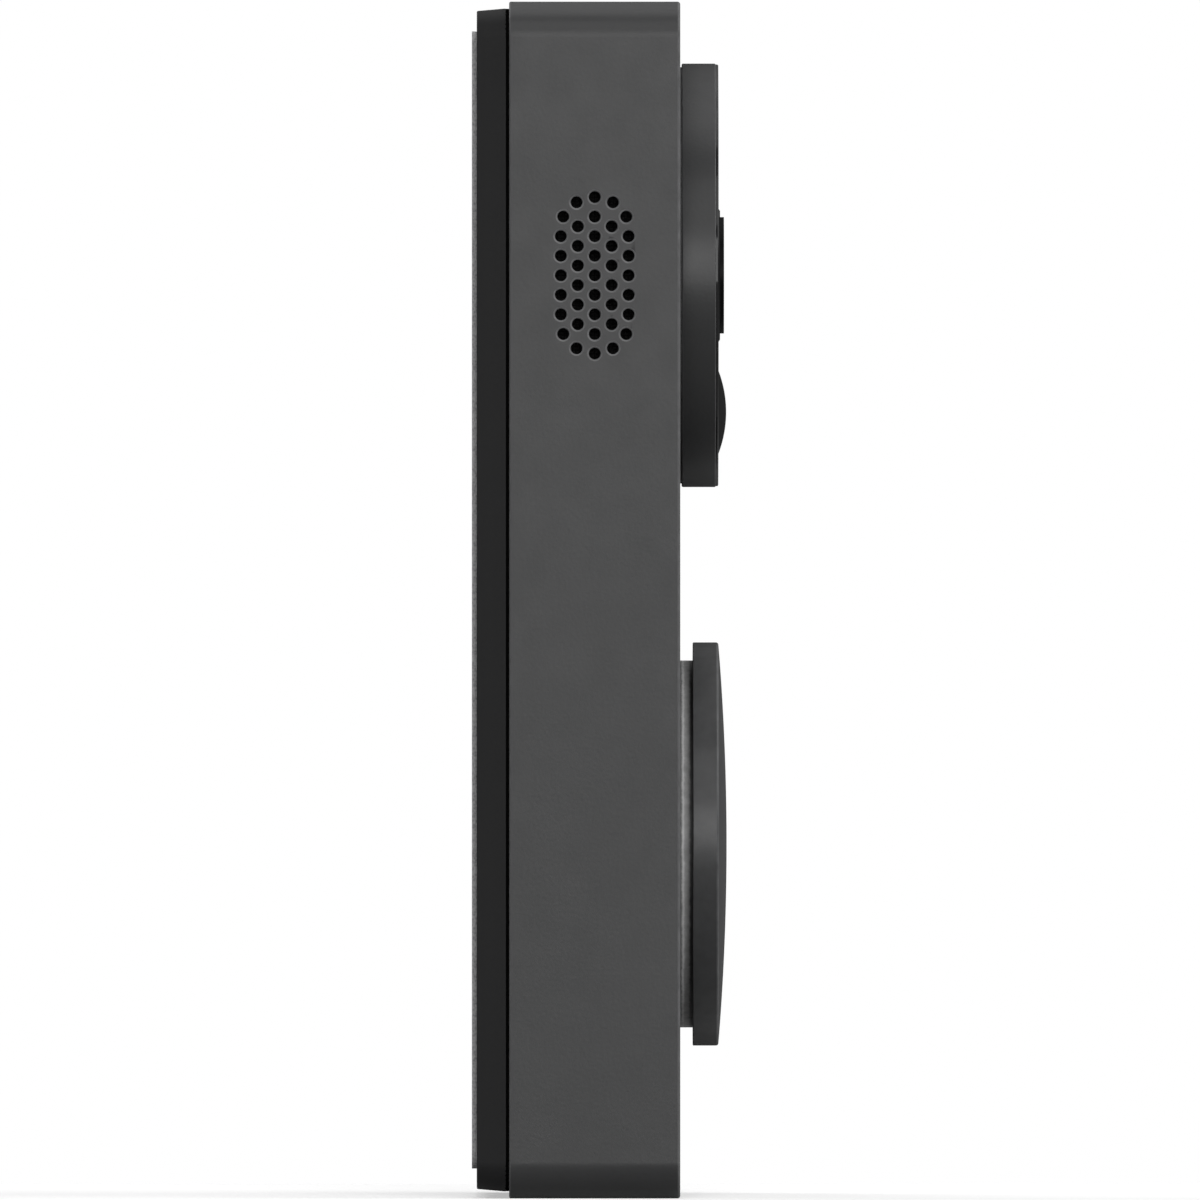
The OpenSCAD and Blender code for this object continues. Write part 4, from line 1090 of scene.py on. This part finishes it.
def make_button():
    """The cap: a rim with a hollow behind it and a bulged face. The light ring stands behind it."""
    radius, rear, apex = span_mm("button_cap")
    rise, wall, hollow = 0.95, 1.6, 1.5
    edge = apex - rise
    outline = [(0, rear + hollow), (radius - wall, rear + hollow), (radius - wall, rear),
               (radius, rear), (radius, edge)]
    on_the_face = (radius - 2, edge + 0.17)
    points = filleted([*outline, on_the_face], {1: 0.3, 2: 0.15, 3: 0.12, 4: 0.28})[:-1]
    face = [p for p in dome_line(2 * radius, edge, rise, 40) if p[0] < radius - 0.35]
    add_turned("push_cap", "button_cap", points + unmarked(face), cap_z, 256)
    add_smoothed("glow_ring", "light_ring")


# ---- The inside of the doorbell ----


def make_lens():
    """Stepped barrel and a deep front lens behind the clear cover."""
    outer, rear, front = span_mm("lens_barrel")
    lens_r, lens_rear, lens_front = span_mm("front_lens")
    neck, shoulder, bore, aperture = outer - 0.8, rear + 1.6, lens_r + 0.05, 2.2
    outline = [(aperture, rear), (neck, rear), (neck, shoulder), (outer, shoulder), (outer, front)]
    steps, mouth, funnel = 5, outer - 1, 1.2
    fall, shrink = funnel / steps, (mouth - bore) / steps
    for k in range(steps):
        r = mouth - shrink * k
        outline += [(r, front - fall * k), (r, front - fall * (k + 1))]
    seat = lens_rear - 0.04
    outline += [(bore, front - funnel), (bore, seat), (aperture, seat)]
    add_turned("barrel", "lens_barrel", filleted(outline, {1: 0.2, 4: 0.3}, 4), disc_z, 96)
    bulge = 0.9
    edge = lens_front - bulge
    line = [(0, lens_rear), (lens_r, lens_rear), (lens_r, edge)]
    line += dome_line(2 * lens_r, edge, lens_front - edge, 14)[1:]
    add_turned("front_element", "front_lens", unmarked(line), disc_z, 96, material=coated_lens)


def make_microphone_seal():
    """Rubber boot over the microphone, closed by a felt that shows dark through the shell's hole."""
    rear, front = span_mm("microphone_gasket")[1:]
    outer, bore, felt = 1.4, 0.6, rear + 0.25
    outline = [(0, rear), (outer, rear), (outer, front), (bore, front), (bore, felt), (0, felt)]
    add_turned("microphone_boot", "microphone_gasket", filleted(outline, {2: 0.1}, 3),
               middle("microphone_gasket").z, 32)


def make_screws():
    cross = make_screw_tree("cross_recess_screw", 4)
    hexagonal = make_screw_tree("hexagon_recess_screw", 6)
    tray_head, board_head, bezel_r = 4.4, 3.8, 18.6 * MM
    tray_x = half_width("tray_screws") - tray_head / 2 * MM
    tray_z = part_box("tray_screws")[1].z - tray_head / 2 * MM
    tray_zs = (-tray_z, -8.1 * MM, tray_z)
    board_x = half_width("board_screws") - board_head / 2 * MM
    board_low, board_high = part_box("board_screws")
    board_zs = (board_low.z + board_head / 2 * MM, board_high.z - board_head / 2 * MM)
    terminal = middle("terminal_screws")
    rows = [
        # node, head diameter, head height, shank diameter, places across the front
        ("tray_screws", tray_head, 1.1, 1.9, [(x, z) for x in (tray_x, -tray_x) for z in tray_zs]),
        ("board_screws", board_head, 0.9, 1.9, [(x, z) for x in (-board_x, board_x)
                                                for z in board_zs]),
        ("bezel_screws", 3.8, 1.0, 1.9, [(bezel_r * math.cos(a), disc_z + bezel_r * math.sin(a))
                                         for a in map(math.radians, (90, 210, 330))]),
        ("terminal_screws", 3.9, 1.6, 2.2, [(terminal.x + s * 3 * MM, terminal.z) for s in (-1, 1)]),
    ]
    overlap = 0.05
    for seed, (node, head, head_h, shank, places) in enumerate(rows, 3):
        rear = rear_depth(node)
        add_grown(f"{node}_threaded", node, cross, [(x, -rear, z) for x, z in places],
                  Head_Diameter=head * MM, Head_Height=head_h * MM, Shank_Diameter=shank * MM,
                  Shank_Length=front_depth(node) - rear - (head_h - overlap) * MM, Seed=seed)
    low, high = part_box("security_screw")
    head_h = 1.1 * MM
    add_grown("lock_screw", "security_screw", hexagonal, [(0, middle("security_screw").y, low.z)],
              Head_Diameter=high.x - low.x, Head_Height=head_h, Shank_Diameter=2.5 * MM,
              Shank_Length=high.z - low.z - head_h + overlap * MM, Thread_Pitch=0.6 * MM,
              Recess_Width=1.8 * MM, Recess_Depth=0.8 * MM, Facing=NO_TURN)


def make_springs():
    tree = make_coil_tree()
    wire, coil_r, turns, press = 0.6 * MM, 2.8 * MM, 4.5, 0.6 * MM
    low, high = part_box("battery_springs")
    column = half_width("battery_springs") - coil_r - wire / 2
    y = middle("battery_springs").y
    places = [(-column, y, low.z + wire / 2), (0, y, high.z - wire / 2), (column, y, low.z + wire / 2)]
    add_grown("cell_springs", "battery_springs", tree, places, upside=[0.0, 1.0, 0.0], crease=60,
              Coil_Radius=coil_r, Wire=wire, Turns=turns, Height=2.9 * MM)
    rear, front = rear_depth("button_spring"), front_depth("button_spring")
    spring = add_grown("return_spring", "button_spring", tree, [(0, -rear - wire / 2, cap_z)],
                       crease=60, Coil_Radius=5 * MM, Wire=wire, Turns=turns,
                       Height=front - rear - wire, Facing=FACES_FRONT)
    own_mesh(spring)


def make_cells():
    """Six cells in three columns: a film sleeve over steel ends, raised ends up and down by turns."""
    sleeve = [(0.6, 0.003), (0.9, 0.003), (0.965, 0.006), (1, 0.014), (1, 0.3), (1, 0.6), (1, 0.962),
              (0.985, 0.970), (0.95, 0.976), (0.9, 0.979), (0.6, 0.981), (0.6, 0.962), (0.6, 0.6),
              (0.6, 0.3), (0.6, 0.003)]
    metal = [(0, 0), (0.58, 0), (0.61, 0.001), (0.62, 0.02), (0.3, 0.03), (0.3, 0.97), (0.62, 0.976),
             (0.62, 0.9825), (0.5, 0.984), (0.41, 0.9845), (0.39, 0.988), (0.38, 0.996), (0.36, 1),
             (0, 1)]
    radius, length, pitch = 7.25 * MM, 50.5 * MM, 50.55 * MM
    low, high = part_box("batteries")
    column = high.x - radius
    y = middle("batteries").y
    places, upside = [], []
    for x in (-column, 0, column):
        for row in (0, 1):
            places.append((x, y, low.z + row * pitch if x else high.z - row * pitch))
            upside.append(float(x == 0))
    for name, outline, slot in (("cell_sleeves", sleeve, "battery_wrap"), ("cell_ends", metal, "steel")):
        add_grown(name, "batteries", make_turned_tree(name, outline), places, slot, upside=upside,
                  Radius=radius, Length=length)


def make_lamps():
    tree = make_lamp_tree()
    add_grown("glow_lamps", "ring_leds", tree, [(0, -rear_depth("ring_leds"), cap_z)])
    add_grown("night_lamps", "infrared_leds", tree, [(0, -rear_depth("infrared_leds"), disc_z)],
              Count=4, Ring_Radius=12.7 * MM, First_Angle=math.pi / 4, Width=2.8 * MM,
              Length=2.8 * MM, Body=0.6 * MM, Lens=1.1 * MM, Lens_Height=0.4 * MM)


def make_chips():
    """Chips with legs on both sides of the main board. Those on its front lie under the can."""
    tree = make_chip_tree()
    can_z = middle("shield_can").z / MM
    sides = [
        # x, z, width, length and height in millimetres, and legs to a side
        (rear_depth("main_board"), FACES_REAR, [
            (-6, -59.5, 6, 4, 1.2, 5), (3.5, -59.5, 5, 5, 3, 5), (26.4, -37.65, 5, 5, 3, 5),
            (-26.4, -37.65, 4, 7, 1.5, 9), (26.4, 25.8, 4.2, 6, 1.5, 8)]),
        (front_depth("main_board"), FACES_FRONT, [
            (0, can_z, 9, 9, 0.8, 14), (10, can_z, 6, 8, 0.7, 12), (-10, can_z, 5, 5, 0.7, 8)]),
    ]
    bm = bmesh.new()
    for depth, facing, chips in sides:
        for x, z, width, length, height, legs in chips:
            mesh = grow("chip", tree, [(x * MM, -depth, z * MM)], finishes["chip_resin"],
                        Width=width * MM, Length=length * MM, Height=height * MM, Legs=legs,
                        Facing=facing, Leg_Finish=finishes["steel"])
            bm.from_mesh(mesh)
            coats = list(mesh.materials)
            bpy.data.meshes.remove(mesh)
    whole = settle("leaded_chips", bm)
    for coat in coats:
        whole.materials.append(coat)
    add_piece("leaded_chips", whole, "board_chips")


def make_speaker_screen():
    low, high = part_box("speaker_mesh")
    add_grown("speaker_gauze", "speaker_mesh", make_weave_tree(), [middle("speaker_mesh")],
              crease=80, Width=high.y - low.y, Height=high.z - low.z)


add_camera()
make_shell()
make_wall_plate()
add_smoothed("foam_pad", "adhesive_pad")
make_camera_disc()
make_lens_cover()
make_motion_lens()
make_button()
make_lens()
make_microphone_seal()
make_screws()
make_springs()
make_cells()
make_lamps()
make_chips()
make_speaker_screen()

for node, piece in cad_nodes.items():
    if not piece.hide_render:
        piece.data.materials.clear()
        piece.data.materials.append(disc_seam if node == "camera_seal" else finishes[slot_of_node[node]])


# ---- Floor, backdrop and light ----


def seen_directly(tree):
    """1 for rays from the camera, in a reflection or through glass; 0 for scattered light."""
    path = wires(tree.nodes.new("ShaderNodeLightPath").outputs)
    either = maths("MAXIMUM", path["Is Camera Ray"], path["Is Glossy Ray"])
    return maths("MAXIMUM", either, path["Is Transmission Ray"])


def add_world():
    """A white surround that lights the doorbell only faintly."""
    fill = 0.06
    scene.world = bpy.data.worlds.new("white_studio")
    tree = emptied(scene.world)
    strength = maths("MAXIMUM", seen_directly(tree), fill)
    background = lay(tree, "ShaderNodeBackground", {"Color": grey(1.0), "Strength": strength})
    connect(tree.nodes.new("ShaderNodeOutputWorld"), {0: background})


def add_floor():
    """A pale floor, white where it is seen, that keeps the doorbell's shadow."""
    left, right, half_depth = -1.6, 0.12, 1.4
    bm = bmesh.new()
    corners = [(left, -half_depth), (right, -half_depth), (right, half_depth), (left, half_depth)]
    bm.faces.new([bm.verts.new((x, y, cad_low.z)) for x, y in corners])
    floor = in_scene("floor", mesh_of("floor", bm))
    material = bpy.data.materials.new("pale_floor")
    tree = emptied(material)
    seen = seen_directly(tree)
    unseen_paint, seen_paint, seen_glow = grey(0.15), grey(0.55), 0.45
    colour = blend_colours(seen, unseen_paint, seen_paint)
    paint = lay(tree, "ShaderNodeBsdfDiffuse", {"Color": colour})
    lift = lay(tree, "ShaderNodeEmission", {"Color": grey(1.0), "Strength": seen * seen_glow})
    both = lay(tree, "ShaderNodeAddShader", {0: paint, 1: lift})
    connect(tree.nodes.new("ShaderNodeOutputMaterial"), {0: both})
    floor.data.materials.append(material)


def add_soft_light(name, azimuth, elevation, level, width):
    """A soft box that points at the doorbell. Level is what white paint that faces it would show.
    Azimuth 0 is the front and 90 the side from which the camera looks."""
    distance = 1.6
    a, e = math.radians(azimuth), math.radians(elevation)
    direction = Vector((-math.sin(a) * math.cos(e), -math.cos(a) * math.cos(e), math.sin(e)))
    data = bpy.data.lights.new(name, "AREA")
    data.shape = "SQUARE"
    data.size = width
    data.energy = level * math.pi ** 2 * distance ** 2
    light = in_scene(name, data)
    light.visible_camera = False
    light.location = direction * distance
    light.rotation_mode = "QUATERNION"
    light.rotation_quaternion = direction.to_track_quat("Z", "Y")


add_world()
add_floor()
add_soft_light("side_light", azimuth=84, elevation=7, level=0.68, width=0.8)
add_soft_light("shoulder_light", azimuth=84, elevation=42, level=0.26, width=0.8)
add_soft_light("upper_light", azimuth=88, elevation=88, level=0.24, width=0.8)
add_soft_light("top_light", azimuth=265, elevation=65, level=0.08, width=0.8)
add_soft_light("front_light", azimuth=10, elevation=30, level=0.65, width=1.2)
add_soft_light("rear_light", azimuth=215, elevation=35, level=0.50, width=1.2)

scene.view_settings.view_transform = "Standard"
